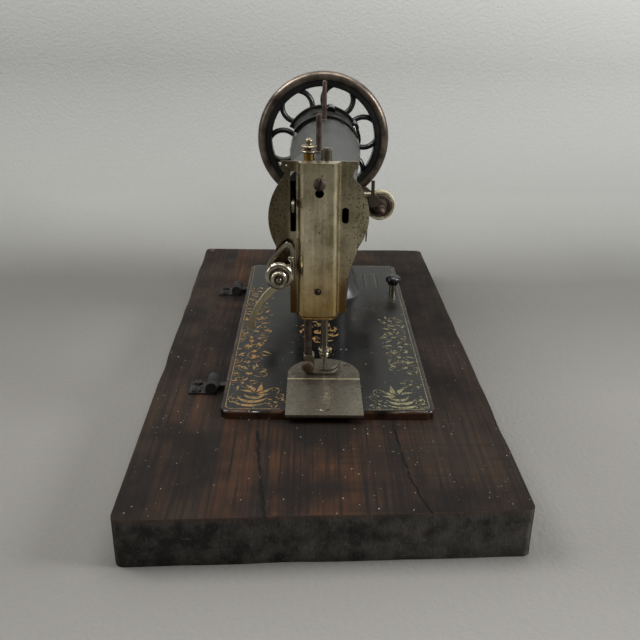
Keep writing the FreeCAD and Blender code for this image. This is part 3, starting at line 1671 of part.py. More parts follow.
def take_up_lever():
    """The lever through the face plate's slot: eye, arm, hub, and the stud that follows the cam."""
    level = NEEDLE_Y + LEVER_Y
    hub = rod(
        "lever_hub", at(s.take_up_pivot_x, LEVER_Y, s.take_up_z), s.take_up_hub, s.take_up_thickness, "y"
    )
    eye = rod("lever_eye", at(s.take_up_tip_x, LEVER_Y, s.take_up_z), s.take_up_eye, s.take_up_thickness, "y")
    low = BED_Z + s.take_up_z - s.take_up_half
    high = BED_Z + s.take_up_z + s.take_up_half
    centre_z = BED_Z + s.take_up_z
    arm_outline = [
        (BED_X + s.take_up_tip_x, low),
        (BED_X + s.take_up_pivot_x, centre_z - s.take_up_hub * s.slot_end_share),
        (BED_X + s.take_up_pivot_x, centre_z + s.take_up_hub * s.slot_end_share),
        (BED_X + s.take_up_tip_x, high),
    ]
    arm_plate = plate("lever_arm", "xz", level, s.take_up_thickness, arm_outline)
    tail_outline = [
        (BED_X + s.take_up_pivot_x - s.take_up_half, centre_z - s.take_up_half),
        (BED_X + s.follower_x - s.take_up_half, BED_Z + s.shaft_z - s.take_up_half),
        (BED_X + s.follower_x + s.take_up_half, BED_Z + s.shaft_z + s.take_up_half),
        (BED_X + s.take_up_pivot_x + s.take_up_half, centre_z + s.take_up_half),
    ]
    tail = plate("lever_tail", "xz", level, s.take_up_thickness, tail_outline)
    stud_y = s.cam_radius - s.shaft_y + s.pivot_gap
    stud = rod(
        "lever_stud",
        at(s.follower_x, stud_y, s.shaft_z),
        s.follower_radius,
        LEVER_Y + s.take_up_thickness - stud_y,
        "y",
    )
    eye_hole = rod(
        "lever_eye_hole",
        at(s.take_up_tip_x, LEVER_Y, s.take_up_z),
        s.take_up_eye_hole,
        s.take_up_thickness,
        "y",
    )
    bore = rod(
        "lever_bore",
        at(s.take_up_pivot_x, LEVER_Y, s.take_up_z),
        s.take_up_pin_radius + s.running_gap,
        s.take_up_thickness,
        "y",
    )
    blank = fuse("take_up_blank", hub, eye, arm_plate, tail, stud)
    return node("take_up_lever", cut("take_up_lever_cut", blank, eye_hole, bore))


def pivot_screws():
    """The fixed pins that the take-up lever and the presser lifter turn on."""
    wall_in = s.head_back - s.head_wall
    head_y = LEVER_Y - s.hinge_gap - s.pivot_head_height
    pin = rod(
        "take_up_pin",
        at(s.take_up_pivot_x, head_y, s.take_up_z),
        s.take_up_pin_radius,
        s.head_back - head_y,
        "y",
    )
    head = rod(
        "take_up_pin_head", at(s.take_up_pivot_x, head_y, s.take_up_z), s.pivot_head, s.pivot_head_height, "y"
    )
    collar_y = LEVER_Y + s.take_up_thickness + s.hinge_gap
    collar = rod(
        "take_up_pin_collar",
        at(s.take_up_pivot_x, collar_y, s.take_up_z),
        s.pivot_head,
        wall_in - collar_y,
        "y",
    )
    lifter_head_x = s.lifter_x - s.hinge_gap - s.pivot_head_height
    lifter_pin = rod(
        "lifter_pin",
        at(lifter_head_x, s.lifter_y, s.lifter_z),
        s.lifter_pin_radius,
        s.lifter_boss_end - lifter_head_x,
        "x",
    )
    lifter_head = rod(
        "lifter_pin_head", at(lifter_head_x, s.lifter_y, s.lifter_z), s.pivot_head, s.pivot_head_height, "x"
    )
    take_up = fuse("take_up_pin_whole", pin, head, collar)
    lifter = fuse("lifter_pin_whole", lifter_pin, lifter_head)
    return node("pivot_screws", together("pivot_screws_pair", take_up, lifter))


# ---------------------------------------------------------------- presser bar and foot
EAR_LOW = s.presser_y
BRACKET_HALF = s.presser_bar_radius + s.bracket_wall


def presser_bar():
    start = at(s.presser_x, s.presser_y, s.presser_bar_bottom)
    length = s.presser_bar_top - s.presser_bar_bottom
    bar = rod("presser_bar_rod", start, s.presser_bar_radius, length)
    hole = rod(
        "presser_bar_hole",
        at(s.presser_x - s.presser_bar_radius, s.presser_y, s.foot_screw_z),
        s.foot_screw_radius,
        s.presser_bar_radius,
        "x",
    )
    return node("presser_bar", cut("presser_bar_cut", bar, hole))


def presser_bracket():
    """The block clamped on the presser bar, with the ear that the lifter raises."""
    block = box(
        "bracket_block",
        at(s.presser_x - BRACKET_HALF, s.presser_y - BRACKET_HALF, s.bracket_z),
        BRACKET_HALF * 2,
        BRACKET_HALF * 2,
        s.bracket_height,
    )
    ear = box(
        "bracket_ear",
        at(s.lifter_x, EAR_LOW, s.bracket_z),
        s.presser_x - s.lifter_x - s.presser_bar_radius,
        s.bracket_end_y - EAR_LOW,
        s.bracket_height,
    )
    bore = rod(
        "bracket_bore", at(s.presser_x, s.presser_y, s.bracket_z), s.presser_bar_radius, s.bracket_height
    )
    blank = fuse("presser_bracket_blank", block, ear)
    return node("presser_bracket", cut("presser_bracket_cut", blank, bore))


def presser_foot():
    """Two upturned toes, a sole and a shank grooved for the bar."""
    low = BED_Z + s.foot_rest
    high = low + s.foot_sole
    heel = NEEDLE_Y + s.foot_heel_y
    toe = NEEDLE_Y - s.foot_toe_y
    tip = NEEDLE_Y - s.foot_tip_y
    outline = [
        (heel, low),
        (heel, high),
        (toe, high),
        (tip, high + s.foot_toe_rise),
        (tip, low + s.foot_toe_rise),
        (toe, low),
    ]
    left = BED_X + s.presser_x - s.foot_width / 2
    sole = plate("foot_sole_plate", "yz", left, s.foot_width, outline)
    shank_x = s.presser_x - s.presser_bar_radius - s.foot_shank_thickness
    shank = box(
        "foot_shank",
        at(shank_x, s.presser_y - s.foot_shank_width / 2, s.foot_rest),
        s.foot_shank_thickness + s.presser_bar_radius / 2,
        s.foot_shank_width,
        s.foot_shank_top - s.foot_rest,
    )
    slot = box(
        "foot_slot_cut",
        at(s.needle_x - s.foot_slot / 2, -s.foot_tip_y, s.foot_rest),
        s.foot_slot,
        s.foot_tip_y + s.foot_slot,
        s.foot_sole + s.foot_toe_rise,
    )
    bar_length = s.foot_shank_top - s.presser_bar_bottom
    groove = rod(
        "foot_groove", at(s.presser_x, s.presser_y, s.presser_bar_bottom), s.presser_bar_radius, bar_length
    )
    hole = rod(
        "foot_hole",
        at(shank_x, s.presser_y, s.foot_screw_z),
        s.foot_screw_radius,
        s.foot_shank_thickness * 2,
        "x",
    )
    blank = fuse("presser_foot_blank", sole, shank)
    return node("presser_foot", cut("presser_foot_cut", blank, slot, groove, hole))


def foot_screw():
    """The thumb screw that clamps the foot, facing the needle end."""
    shank_x = s.presser_x - s.presser_bar_radius - s.foot_shank_thickness
    screw = slotted_screw(
        "foot_screw_body",
        at(shank_x, s.presser_y, s.foot_screw_z),
        s.foot_screw_radius,
        s.foot_shank_thickness + s.presser_bar_radius,
        s.foot_screw_head,
        s.foot_screw_head_height,
        ("x", -1),
    )
    return node("foot_screw", screw)


def coil(name, start, radius, wire, pitch, height, along="z"):
    """A coil spring of round wire."""
    helix = bind(doc.addObject("Part::Helix", f"{name}_helix"), Pitch=pitch, Height=height, Radius=radius)
    profile = doc.addObject("Sketcher::SketchObject", f"{name}_profile")
    drawn(profile, [((radius, 0), wire)])
    profile.Placement = FreeCAD.Placement(FreeCAD.Vector(), PLANES["xz"])
    sweep = doc.addObject("Part::Sweep", f"{name}_sweep")
    sweep.Sections = [profile]
    sweep.Spine = (helix, ["Edge1"])
    sweep.Solid = True
    sweep.Frenet = True
    thing = doc.addObject("Part::Compound", name)
    thing.Links = [sweep]
    return place(thing, start, TURN[along])


def presser_spring():
    low = s.bracket_z + s.bracket_height + s.spring_wire
    height = s.pressure_screw_bottom - s.spring_wire - low
    thing = coil(
        "presser_coil",
        at(s.presser_x, s.presser_y, low),
        s.spring_radius,
        s.spring_wire,
        s.spring_pitch,
        height,
    )
    return node("presser_spring", thing)


def pressure_screw():
    """The hollow thumb screw on the head's top that sets the spring, with two discs and a ball."""
    bottom = s.pressure_screw_bottom
    bore = s.presser_bar_radius + s.running_gap
    bore_top = s.presser_bar_top + s.presser_lift + s.hinge_gap - bottom
    low_disc = s.arm_top + s.pressure_disc_gap - bottom
    high_disc = low_disc + s.pressure_disc * 2
    ball_z = s.pressure_screw_top - s.pressure_ball - bottom
    neck = s.pressure_ball * cosine(s.pressure_neck_angle)
    outline = [
        (bore, 0),
        (s.pressure_screw_radius, 0),
        (s.pressure_screw_radius, low_disc),
        (s.pressure_knob_radius, low_disc),
        (s.pressure_knob_radius, low_disc + s.pressure_disc),
        (s.pressure_screw_radius, low_disc + s.pressure_disc),
        (s.pressure_screw_radius, high_disc),
        (s.pressure_knob_radius, high_disc),
        (s.pressure_knob_radius, high_disc + s.pressure_disc),
        (neck, high_disc + s.pressure_disc),
        (neck, ball_z - s.pressure_ball / 2),
        arc((s.pressure_ball, ball_z), (0, ball_z + s.pressure_ball)),
        (0, bore_top),
        (bore, bore_top),
    ]
    thing = turned("pressure_screw_form", at(s.presser_x, s.presser_y, bottom), "z", outline)
    return node("pressure_screw", thing)


def presser_lifter():
    """The hand lever behind the head, with the cam that lifts the presser bar."""
    pivot_y = NEEDLE_Y + s.lifter_y
    pivot_z = BED_Z + s.lifter_z
    half = s.lifter_half_width
    slant = half * cosine(45)
    root_y = NEEDLE_Y + s.lifter_root_y
    end_y = NEEDLE_Y + s.lifter_reach_y
    end_z = BED_Z + s.lifter_reach_z
    bend_y = NEEDLE_Y + s.lifter_bend_y
    bend_z = BED_Z + s.lifter_bend_z
    outline = [
        (pivot_y, pivot_z + s.lifter_eye),
        (root_y, pivot_z + s.lifter_cam_rise),
        arc((bend_y + slant, bend_z + slant), (end_y + half, end_z)),
        arc((end_y, end_z - half), (end_y - half, end_z)),
        arc((bend_y - slant, bend_z - slant), (root_y, pivot_z - s.lifter_root_drop)),
        (pivot_y, pivot_z - s.lifter_eye),
    ]
    lever = plate("lifter_lever", "yz", BED_X + s.lifter_x, s.lifter_thickness, outline)
    pivot = at(s.lifter_x, s.lifter_y, s.lifter_z)
    eye = rod("lifter_eye_disc", pivot, s.lifter_eye, s.lifter_thickness, "x")
    bore = rod("lifter_bore", pivot, s.lifter_pin_radius + s.running_gap, s.lifter_thickness, "x")
    return node("presser_lifter", cut("presser_lifter_cut", fuse("presser_lifter_blank", lever, eye), bore))


# ---------------------------------------------------------------- thread tension and guides
DISC_BACK = s.tension_drum_x - s.tension_disc_gap
NUT_X = s.tension_nut_x


def tension_stud():
    """The stud with its drum and foot, slotted at the end."""
    start = at(s.tension_stud_end, s.tension_y, s.tension_z)
    bar = rod("stud_bar", start, s.tension_stud_radius, s.head_face_x - s.tension_stud_end, "x")
    drum = rod(
        "stud_drum",
        at(s.tension_drum_x, s.tension_y, s.tension_z),
        s.tension_drum_radius,
        s.bracket_plate_x - s.tension_drum_x,
        "x",
    )
    foot_x = s.bracket_plate_x + s.bracket_plate_thickness
    foot = rod("stud_foot", at(foot_x, s.tension_y, s.tension_z), s.tension_foot, FLANGE_X - foot_x, "x")
    slot = box(
        "stud_slot",
        at(
            s.tension_stud_end,
            s.tension_y - s.screw_slot_width / 2,
            s.tension_z - s.tension_stud_radius,
        ),
        s.screw_slot_depth * 2,
        s.screw_slot_width,
        s.tension_stud_radius * 2,
    )
    return node("tension_stud", cut("tension_stud_cut", fuse("tension_stud_blank", bar, drum, foot), slot))


def tension_discs():
    discs = []
    for number in (1, 2):
        x = DISC_BACK - s.tension_disc_thickness * number - s.hinge_gap * (number - 1)
        discs.append(
            tube(
                f"tension_disc{number}",
                at(x, s.tension_y, s.tension_z),
                s.tension_disc_radius,
                s.tension_stud_radius,
                s.tension_disc_thickness,
                "x",
            )
        )
    return node("tension_discs", together("tension_discs_pair", *discs))


def tension_spring():
    low = NUT_X + s.tension_nut_length + s.check_wire + s.hinge_gap
    high = DISC_BACK - s.tension_disc_thickness * 2 - s.hinge_gap - s.check_wire
    thing = coil(
        "tension_coil",
        at(low, s.tension_y, s.tension_z),
        s.tension_coil_radius,
        s.check_wire,
        (high - low) / s.tension_coil_turns,
        high - low,
        "x",
    )
    return node("tension_spring", thing)


def tension_nut():
    """The round thumb nut, stepped down towards the discs."""
    rim = s.tension_nut_length / 2
    bore = s.tension_stud_radius + s.running_gap
    outline = [
        (bore, 0),
        (s.tension_nut_radius - s.hinge_gap, 0),
        (s.tension_nut_radius, s.hinge_gap),
        (s.tension_nut_radius, rim),
        (s.tension_nut_radius * s.slot_end_share, s.tension_nut_length),
        (bore, s.tension_nut_length),
    ]
    return node("tension_nut", turned("tension_nut_form", at(NUT_X, s.tension_y, s.tension_z), "x", outline))


def check_spring():
    """The sprung wire that takes up slack thread, looped round the drum."""
    loop = hoop("check_loop", at(s.check_x, s.tension_y, s.tension_z), s.check_radius, s.check_wire, "x")
    side = s.tension_y - s.check_radius
    leg_radius = s.check_wire - s.running_gap
    leg = rod("check_leg", at(s.check_x, side, s.tension_z), leg_radius, s.check_reach)
    eye = hoop(
        "check_eye",
        at(s.check_x, side, s.tension_z + s.check_reach + s.check_eye),
        s.check_eye,
        s.check_wire,
        "x",
    )
    return node("check_spring", fuse("check_spring_whole", loop, leg, eye))


def thread_bracket():
    """The three-cornered plate behind the tension, with the ball guide on its upper corner."""
    outline = [
        face_point(s.guide_y, s.guide_z - s.guide_ball),
        face_point(s.bracket_inner_y, s.tension_z - s.bracket_low_drop),
        face_point(s.bracket_low_y, s.tension_z - s.bracket_drop),
        face_point(s.bracket_outer_y, s.tension_z - s.guide_ball),
        face_point(s.bracket_outer_y, s.tension_z + s.bracket_rise),
        face_point(s.bracket_peak_y, s.guide_z + s.check_wire),
    ]
    sheet_metal = plate(
        "thread_bracket_sheet",
        "yz",
        BED_X + s.bracket_plate_x,
        s.bracket_plate_thickness,
        outline,
        (face_point(s.tension_y, s.tension_z), s.tension_stud_radius),
    )
    guide = ball("thread_guide", at(s.bracket_plate_x, s.guide_y, s.guide_z), s.guide_ball)
    return node("thread_bracket", fuse("thread_bracket_whole", sheet_metal, guide))


# ---------------------------------------------------------------- handwheel and belt guard
def handwheel():
    """Rim, band, six ring loops and a hub with the belt groove."""
    half_rim = s.wheel_rim_width / 2
    inner = s.wheel_radius - s.wheel_rim
    edge = s.wheel_edge
    rim_outline = [
        (inner, -half_rim),
        (s.wheel_radius - edge, -half_rim),
        arc(
            (s.wheel_radius - edge + edge * cosine(45), edge - half_rim - edge * cosine(45)),
            (s.wheel_radius, edge - half_rim),
        ),
        (s.wheel_radius, half_rim - edge),
        arc(
            (s.wheel_radius - edge + edge * cosine(45), half_rim - edge + edge * cosine(45)),
            (s.wheel_radius - edge, half_rim),
        ),
        (inner, half_rim),
    ]
    centre = at(s.wheel_x, SHAFT[0], SHAFT[1])
    rim = turned("wheel_rim_ring", centre, "x", rim_outline)
    band_x = s.wheel_x - s.wheel_band_width / 2
    band_inner = inner - s.wheel_band
    band = tube(
        "wheel_band_ring", at(band_x, SHAFT[0], SHAFT[1]), inner, band_inner, s.wheel_band_width, "x"
    )
    rings = []
    holes = []
    loop_x = s.wheel_x - s.loop_thickness / 2
    near = s.wheel_hub_radius + s.loop_hub_wall
    far = band_inner + s.loop_sink
    hole = (far - near) / 2
    for number in range(LOOPS):
        angle = s.loop_angle + FULL_TURN / LOOPS * number
        y = SHAFT[0] + (near + far) / 2 * cosine(angle)
        z = SHAFT[1] + (near + far) / 2 * sine(angle)
        rings.append(rod(f"loop{number}", at(loop_x, y, z), hole + s.loop_band, s.loop_thickness, "x"))
        holes.append(rod(f"loop{number}_hole", at(loop_x, y, z), hole, s.loop_thickness, "x"))
    hub = turned("wheel_hub", at(s.wheel_hub_x, SHAFT[0], SHAFT[1]), "x", hub_outline())
    loops = cut("wheel_loops", fuse("wheel_loops_blank", *rings), *holes)
    trim = rod("wheel_trim", at(loop_x, SHAFT[0], SHAFT[1]), inner, s.loop_thickness, "x")
    common = doc.addObject("Part::Common", "wheel_loops_trimmed")
    common.Base = loops
    common.Tool = trim
    return node("handwheel", fuse("handwheel_whole", rim, band, common, hub))


def hub_outline():
    """The hub's profile, as (radius, distance from its near end)."""
    groove_start = s.belt_groove / 2
    groove_mid = groove_start + s.belt_groove
    groove_end = groove_mid + s.belt_groove
    end = s.wheel_x + s.wheel_rim_width / 2 - s.wheel_hub_x
    return [
        (s.shaft_radius, 0),
        (s.wheel_hub_radius, 0),
        (s.wheel_hub_radius, groove_start),
        (s.wheel_hub_radius - s.belt_groove, groove_mid),
        (s.wheel_hub_radius, groove_end),
        (s.wheel_hub_radius, end - s.belt_groove),
        (s.stop_screw_radius, end),
        (s.shaft_radius, end),
    ]


def stop_motion_screw():
    """The large screw at the wheel's centre, which clamps the wheel for sewing."""
    stem_start = at(s.shaft_end_x - s.stop_stem_length, SHAFT[0], SHAFT[1])
    gap = s.hinge_gap
    stem = rod("stop_stem", stem_start, s.stop_stem_radius, s.stop_stem_length + gap, "x")
    head_x = s.shaft_end_x + gap
    head_body = rod(
        "stop_head", at(head_x, SHAFT[0], SHAFT[1]), s.stop_screw_radius, s.stop_screw_length / 2, "x"
    )
    face = cone(
        "stop_face",
        at(head_x + s.stop_screw_length / 2, SHAFT[0], SHAFT[1]),
        s.stop_screw_radius,
        s.stop_screw_radius / 2,
        s.stop_screw_length / 2,
        "x",
    )
    return node("stop_motion_screw", fuse("stop_motion_screw_whole", stem, head_body, face))


def on_guard(angle):
    """A place on the middle of the guard's band, at an angle up from the back."""
    reach = s.guard_radius - s.guard_band / 2
    return (SHAFT[0] + reach * cosine(angle), SHAFT[1] + reach * sine(angle))


GUARD_SCREW_ANGLES = (s.guard_screw_angle, s.guard_cap_angle)


def belt_guard():
    """The arched band between the arm's end and the wheel."""
    start = s.guard_back_angle
    end = FULL_TURN / 2 + s.guard_front_angle
    mid = (start + end) / 2
    outer = s.guard_radius
    inner = s.guard_radius - s.guard_band

    def spot(radius, angle):
        return face_point(SHAFT[0] + radius * cosine(angle), SHAFT[1] + radius * sine(angle))

    middle_radius = (outer + inner) / 2
    cap = s.guard_cap_turn
    outline = [
        spot(outer, start),
        arc(spot(outer, mid), spot(outer, end)),
        arc(spot(middle_radius, end + cap), spot(inner, end)),
        arc(spot(inner, mid), spot(inner, start)),
    ]
    holes = [(face_point(*on_guard(angle)), s.guard_hole) for angle in GUARD_SCREW_ANGLES]
    sheet_metal = plate("belt_guard_band", "yz", BED_X + s.guard_x, s.guard_thickness, outline, *holes)
    return node("belt_guard", sheet_metal)


def guard_screws():
    screws = []
    for number, angle in enumerate(GUARD_SCREW_ANGLES, start=1):
        y, z = on_guard(angle)
        screws.append(
            slotted_screw(
                f"guard_screw{number}",
                at(s.guard_x + s.guard_thickness, y, z),
                s.guard_hole,
                s.guard_thickness + s.guard_screw_root,
                s.guard_screw_radius,
                s.rear_bushing_stand / 2,
                ("x", 1),
            )
        )
    return node("guard_screws", together("guard_screws_pair", *screws))


# ---------------------------------------------------------------- spool pins
def spool_pin(name, x, y, top, collar_z):
    """One pin set into the arm, with a collar."""
    root = s.arm_top - s.pin_root
    pin = rod(f"{name}_rod", at(x, y, root), s.spool_pin_radius, top - s.spool_pin_radius - root)
    tip = ball(f"{name}_tip", at(x, y, top - s.spool_pin_radius), s.spool_pin_radius)
    collar = rod(f"{name}_collar", at(x, y, collar_z), s.pin_collar_radius, s.pin_collar_height)
    return node(name, fuse(f"{name}_whole", pin, tip, collar))


def spool_pins():
    spool_pin("rear_spool_pin", s.rear_pin_x, -s.rear_pin_y, s.rear_pin_top, s.arm_top)
    collar_z = s.front_pin_top - s.pin_collar_height * 2
    spool_pin("front_spool_pin", s.front_pin_x, s.front_pin_y, s.front_pin_top, collar_z)


# ---------------------------------------------------------------- bobbin winder
PIVOT_Y = -s.winder_pivot_y
SPINDLE_Y = -s.winder_axis_y
FOOT_Y = -s.winder_foot_y


def winder_bracket():
    """The fixed bracket on the pillar: foot, cross post and the winder's pivot pin."""
    foot = box(
        "winder_foot",
        at(s.winder_foot_x, FOOT_Y - s.winder_strap_width, s.winder_pivot_z - s.winder_foot_height / 2),
        s.winder_foot_length,
        s.winder_strap_width,
        s.winder_foot_height,
    )
    post_end = PIVOT_Y - s.winder_arm_end
    post = rod(
        "winder_post",
        at(s.winder_post_x, post_end, s.winder_pivot_z),
        s.winder_post_radius,
        FOOT_Y - post_end,
        "y",
    )
    pin_end = s.winder_arm_x + s.winder_arm_thickness + s.hinge_gap + s.pivot_head_height
    pin = rod(
        "winder_pin",
        at(s.winder_post_x, PIVOT_Y, s.winder_pivot_z),
        s.winder_spindle_radius,
        pin_end - s.winder_post_x,
        "x",
    )
    head = rod(
        "winder_pin_head",
        at(pin_end - s.pivot_head_height, PIVOT_Y, s.winder_pivot_z),
        s.pivot_head,
        s.pivot_head_height,
        "x",
    )
    return node("winder_bracket", fuse("winder_bracket_whole", foot, post, pin, head))


def winder_arm():
    """The swinging arm from the pivot to the spindle, with its upright spring strap."""
    level = BED_X + s.winder_arm_x
    pivot = (NEEDLE_Y + PIVOT_Y, BED_Z + s.winder_pivot_z)
    axis = (NEEDLE_Y + SPINDLE_Y, BED_Z + s.winder_axis_z)
    slant = s.winder_arm_end * cosine(45)
    band = plate(
        "winder_band",
        "yz",
        level,
        s.winder_arm_thickness,
        [
            (pivot[0] - slant, pivot[1] + slant),
            (axis[0] - slant, axis[1] + slant),
            (axis[0] + slant, axis[1] - slant),
            (pivot[0] + slant, pivot[1] - slant),
        ],
    )
    eyes = [
        rod(f"winder_{name}_eye", (level, y, z), s.winder_arm_end, s.winder_arm_thickness, "x")
        for name, (y, z) in (("pivot", pivot), ("spindle", axis))
    ]
    strap_y = (pivot[0] + axis[0]) / 2
    strap_z = (pivot[1] + axis[1]) / 2
    strap = box(
        "winder_strap",
        (level, strap_y - s.winder_strap_width / 2, strap_z),
        s.winder_strap_width,
        s.winder_strap_width,
        s.winder_strap_height + s.winder_arm_end,
    )
    bores = [
        rod(
            f"winder_{name}_bore",
            (level, y, z),
            s.winder_spindle_radius + s.running_gap,
            s.winder_arm_thickness,
            "x",
        )
        for name, (y, z) in (("pivot", pivot), ("spindle", axis))
    ]
    blank = fuse("winder_arm_blank", band, strap, *eyes)
    return node("winder_arm", cut("winder_arm_cut", blank, *bores))


def winder_spindle():
    """The spindle with a ball tip and the pulley that carries the tyre."""
    end = s.winder_x + s.winder_tyre_width + s.winder_spindle_radius
    bar = rod(
        "spindle_bar",
        at(s.winder_spindle_end + s.winder_tip_radius, SPINDLE_Y, s.winder_axis_z),
        s.winder_spindle_radius,
        end - s.winder_spindle_end - s.winder_tip_radius,
        "x",
    )
    tip = ball(
        "spindle_tip",
        at(s.winder_spindle_end + s.winder_tip_radius, SPINDLE_Y, s.winder_axis_z),
        s.winder_tip_radius,
    )
    rim_x = s.winder_x + s.winder_rim_inset
    pulley = rod(
        "spindle_pulley",
        at(rim_x, SPINDLE_Y, s.winder_axis_z),
        s.winder_pulley_radius,
        s.winder_tyre_width - s.winder_rim_inset * 2,
        "x",
    )
    hub_x = s.winder_arm_x + s.winder_arm_thickness + s.hinge_gap
    hub = rod(
        "spindle_hub", at(hub_x, SPINDLE_Y, s.winder_axis_z), s.winder_arm_end, rim_x - hub_x, "x"
    )
    return node("winder_spindle", fuse("winder_spindle_whole", bar, tip, pulley, hub))


def winder_tyre():
    """The rubber tyre that the wheel's rim drives, on the pulley."""
    low = s.winder_rim_inset
    high = s.winder_tyre_width - s.winder_rim_inset
    outline = [
        (s.winder_pulley_radius, low),
        (s.winder_pulley_radius, high),
        (s.winder_tyre_radius - low, s.winder_tyre_width),
        arc(
            (s.winder_tyre_radius, s.winder_tyre_width / 2),
            (s.winder_tyre_radius - low, 0),
        ),
    ]
    return node(
        "winder_tyre", turned("winder_tyre_form", at(s.winder_x, SPINDLE_Y, s.winder_axis_z), "x", outline)
    )


def winder_wire():
    """The thin thread wire that hangs from the post, with a loop at its foot."""
    top = s.winder_pivot_z - s.winder_post_radius
    y = PIVOT_Y - s.winder_arm_end + s.spool_pin_radius
    leg = rod(
        "winder_wire_leg",
        at(s.winder_post_x, y, top - s.winder_wire_drop),
        s.winder_wire_radius,
        s.winder_wire_drop,
    )
    loop = hoop(
        "winder_wire_loop",
        at(s.winder_post_x, y, top - s.winder_wire_drop - s.winder_spindle_radius),
        s.winder_spindle_radius,
        s.winder_wire_radius,
        "x",
    )
    return node("winder_wire", fuse("winder_wire_whole", leg, loop))


# ---------------------------------------------------------------- knob on the bed
def bed_knob():
    """The stitch knob: a two-tiered black cap on its stem."""
    tier = s.knob_cap_height / 2
    outline = [
        (0, 0),
        (s.knob_cap_radius, 0),
        (s.knob_cap_radius, tier),
        (s.knob_cap_radius - s.knob_cap_step, tier),
        (s.knob_cap_radius - s.knob_cap_step, s.knob_cap_height - s.knob_cap_bevel),
        (s.knob_cap_radius - s.knob_cap_step * 2, s.knob_cap_height),
        (0, s.knob_cap_height),
    ]
    cap = turned("knob_cap", at(s.knob_x, -s.knob_y, s.knob_stem_height), "z", outline)
    return node("bed_knob", cap)


def knob_stem():
    start = at(s.knob_x, -s.knob_y, -s.bed_thickness)
    length = s.bed_thickness + s.knob_stem_height
    return node("knob_stem", rod("knob_stem_rod", start, s.knob_stem_radius, length))


# ---------------------------------------------------------------- hook, bobbin and feed
HOOK_Z = -s.hook_drop
FEED_TEETH = 7
HOOK_END = s.hook_x + s.hook_thickness


def shuttle_race():
    """The ring that guides the hook, open at the top, on two feet under the bed."""
    ring = rod("race_out", at(s.race_x, 0, HOOK_Z), s.race_radius, s.race_length, "x")
    inside = rod("race_in", at(s.race_x, 0, HOOK_Z), s.race_radius - s.race_wall, s.race_length, "x")
    gap = box(
        "race_gap",
        at(s.race_x, -s.race_opening, HOOK_Z),
        s.race_length,
        s.race_opening * 2,
        s.race_radius,
    )
    foot_low = HOOK_Z + s.race_foot_rise
    feet = [
        box(
            f"race_foot_{name}",
            at(s.race_x, y, foot_low),
            s.race_length,
            s.race_foot_width,
            -s.bed_thickness - foot_low,
        )
        for name, y in (("front", -s.race_foot_reach), ("back", s.race_foot_reach - s.race_foot_width))
    ]
    return node("shuttle_race", cut("shuttle_race_cut", fuse("shuttle_race_blank", ring, *feet), inside, gap))


def hook():
    """The open hook, its web and its shaft, with the disc that the pitman works."""
    rim = rod("hook_out", at(s.hook_x, 0, HOOK_Z), s.hook_radius, s.hook_thickness, "x")
    inside = rod("hook_in", at(s.hook_x, 0, HOOK_Z), s.hook_radius - s.hook_rim, s.hook_thickness, "x")
    gap = box(
        "hook_gap",
        at(s.hook_x, -s.hook_opening, HOOK_Z),
        s.hook_thickness,
        s.hook_opening * 2,
        s.hook_radius,
    )
    crescent = cut("hook_crescent", rim, inside, gap)
    web = rod("hook_web", at(HOOK_END, 0, HOOK_Z), s.hook_radius - s.case_wall, s.case_wall, "x")
    shaft_end = s.eccentric_x + s.eccentric_length
    shaft = rod("hook_shaft", at(HOOK_END, 0, HOOK_Z), s.hook_shaft_radius, shaft_end - HOOK_END, "x")
    disc = rod("hook_disc", at(s.eccentric_x, 0, HOOK_Z), s.hook_crank_radius, s.eccentric_length, "x")
    return node("hook", fuse("hook_whole", crescent, web, shaft, disc))


CASE_X = s.race_x - s.case_lead
BOBBIN_X = CASE_X + s.case_wall + s.bobbin_clearance


def bobbin_case():
    """The cup that holds the bobbin on a post, with a rim that sits in the race."""
    cup = rod("case_out", at(CASE_X, 0, HOOK_Z), s.case_radius, s.case_length, "x")
    room_length = s.case_length - s.case_wall
    room = rod(
        "case_in", at(CASE_X + s.case_wall, 0, HOOK_Z), s.case_radius - s.case_wall, room_length, "x"
    )
    post = rod("case_post", at(CASE_X, 0, HOOK_Z), s.bobbin_post, s.case_length, "x")
    rim_x = CASE_X + s.case_length - s.case_rim
    rim = tube(
        "case_rim_ring", at(rim_x, 0, HOOK_Z), s.race_radius - s.race_wall, s.case_radius, s.case_rim, "x"
    )
    mouth = box(
        "case_mouth",
        at(CASE_X, -s.bobbin_post, HOOK_Z + s.bobbin_core),
        s.case_length,
        s.bobbin_post * 2,
        s.race_radius,
    )
    hollow = cut("case_hollow", cup, room)
    open_case = cut("case_open", fuse("case_blank", hollow, rim), mouth)
    return node("bobbin_case", fuse("bobbin_case_whole", open_case, post))


def bobbin():
    outline = [
        (s.bobbin_post + s.running_gap, 0),
        (s.bobbin_radius, 0),
        (s.bobbin_radius, s.bobbin_flange),
        (s.bobbin_core, s.bobbin_flange),
        (s.bobbin_core, s.bobbin_length - s.bobbin_flange),
        (s.bobbin_radius, s.bobbin_length - s.bobbin_flange),
        (s.bobbin_radius, s.bobbin_length),
        (s.bobbin_post + s.running_gap, s.bobbin_length),
    ]
    return node("bobbin", turned("bobbin_form", at(BOBBIN_X, 0, HOOK_Z), "x", outline))


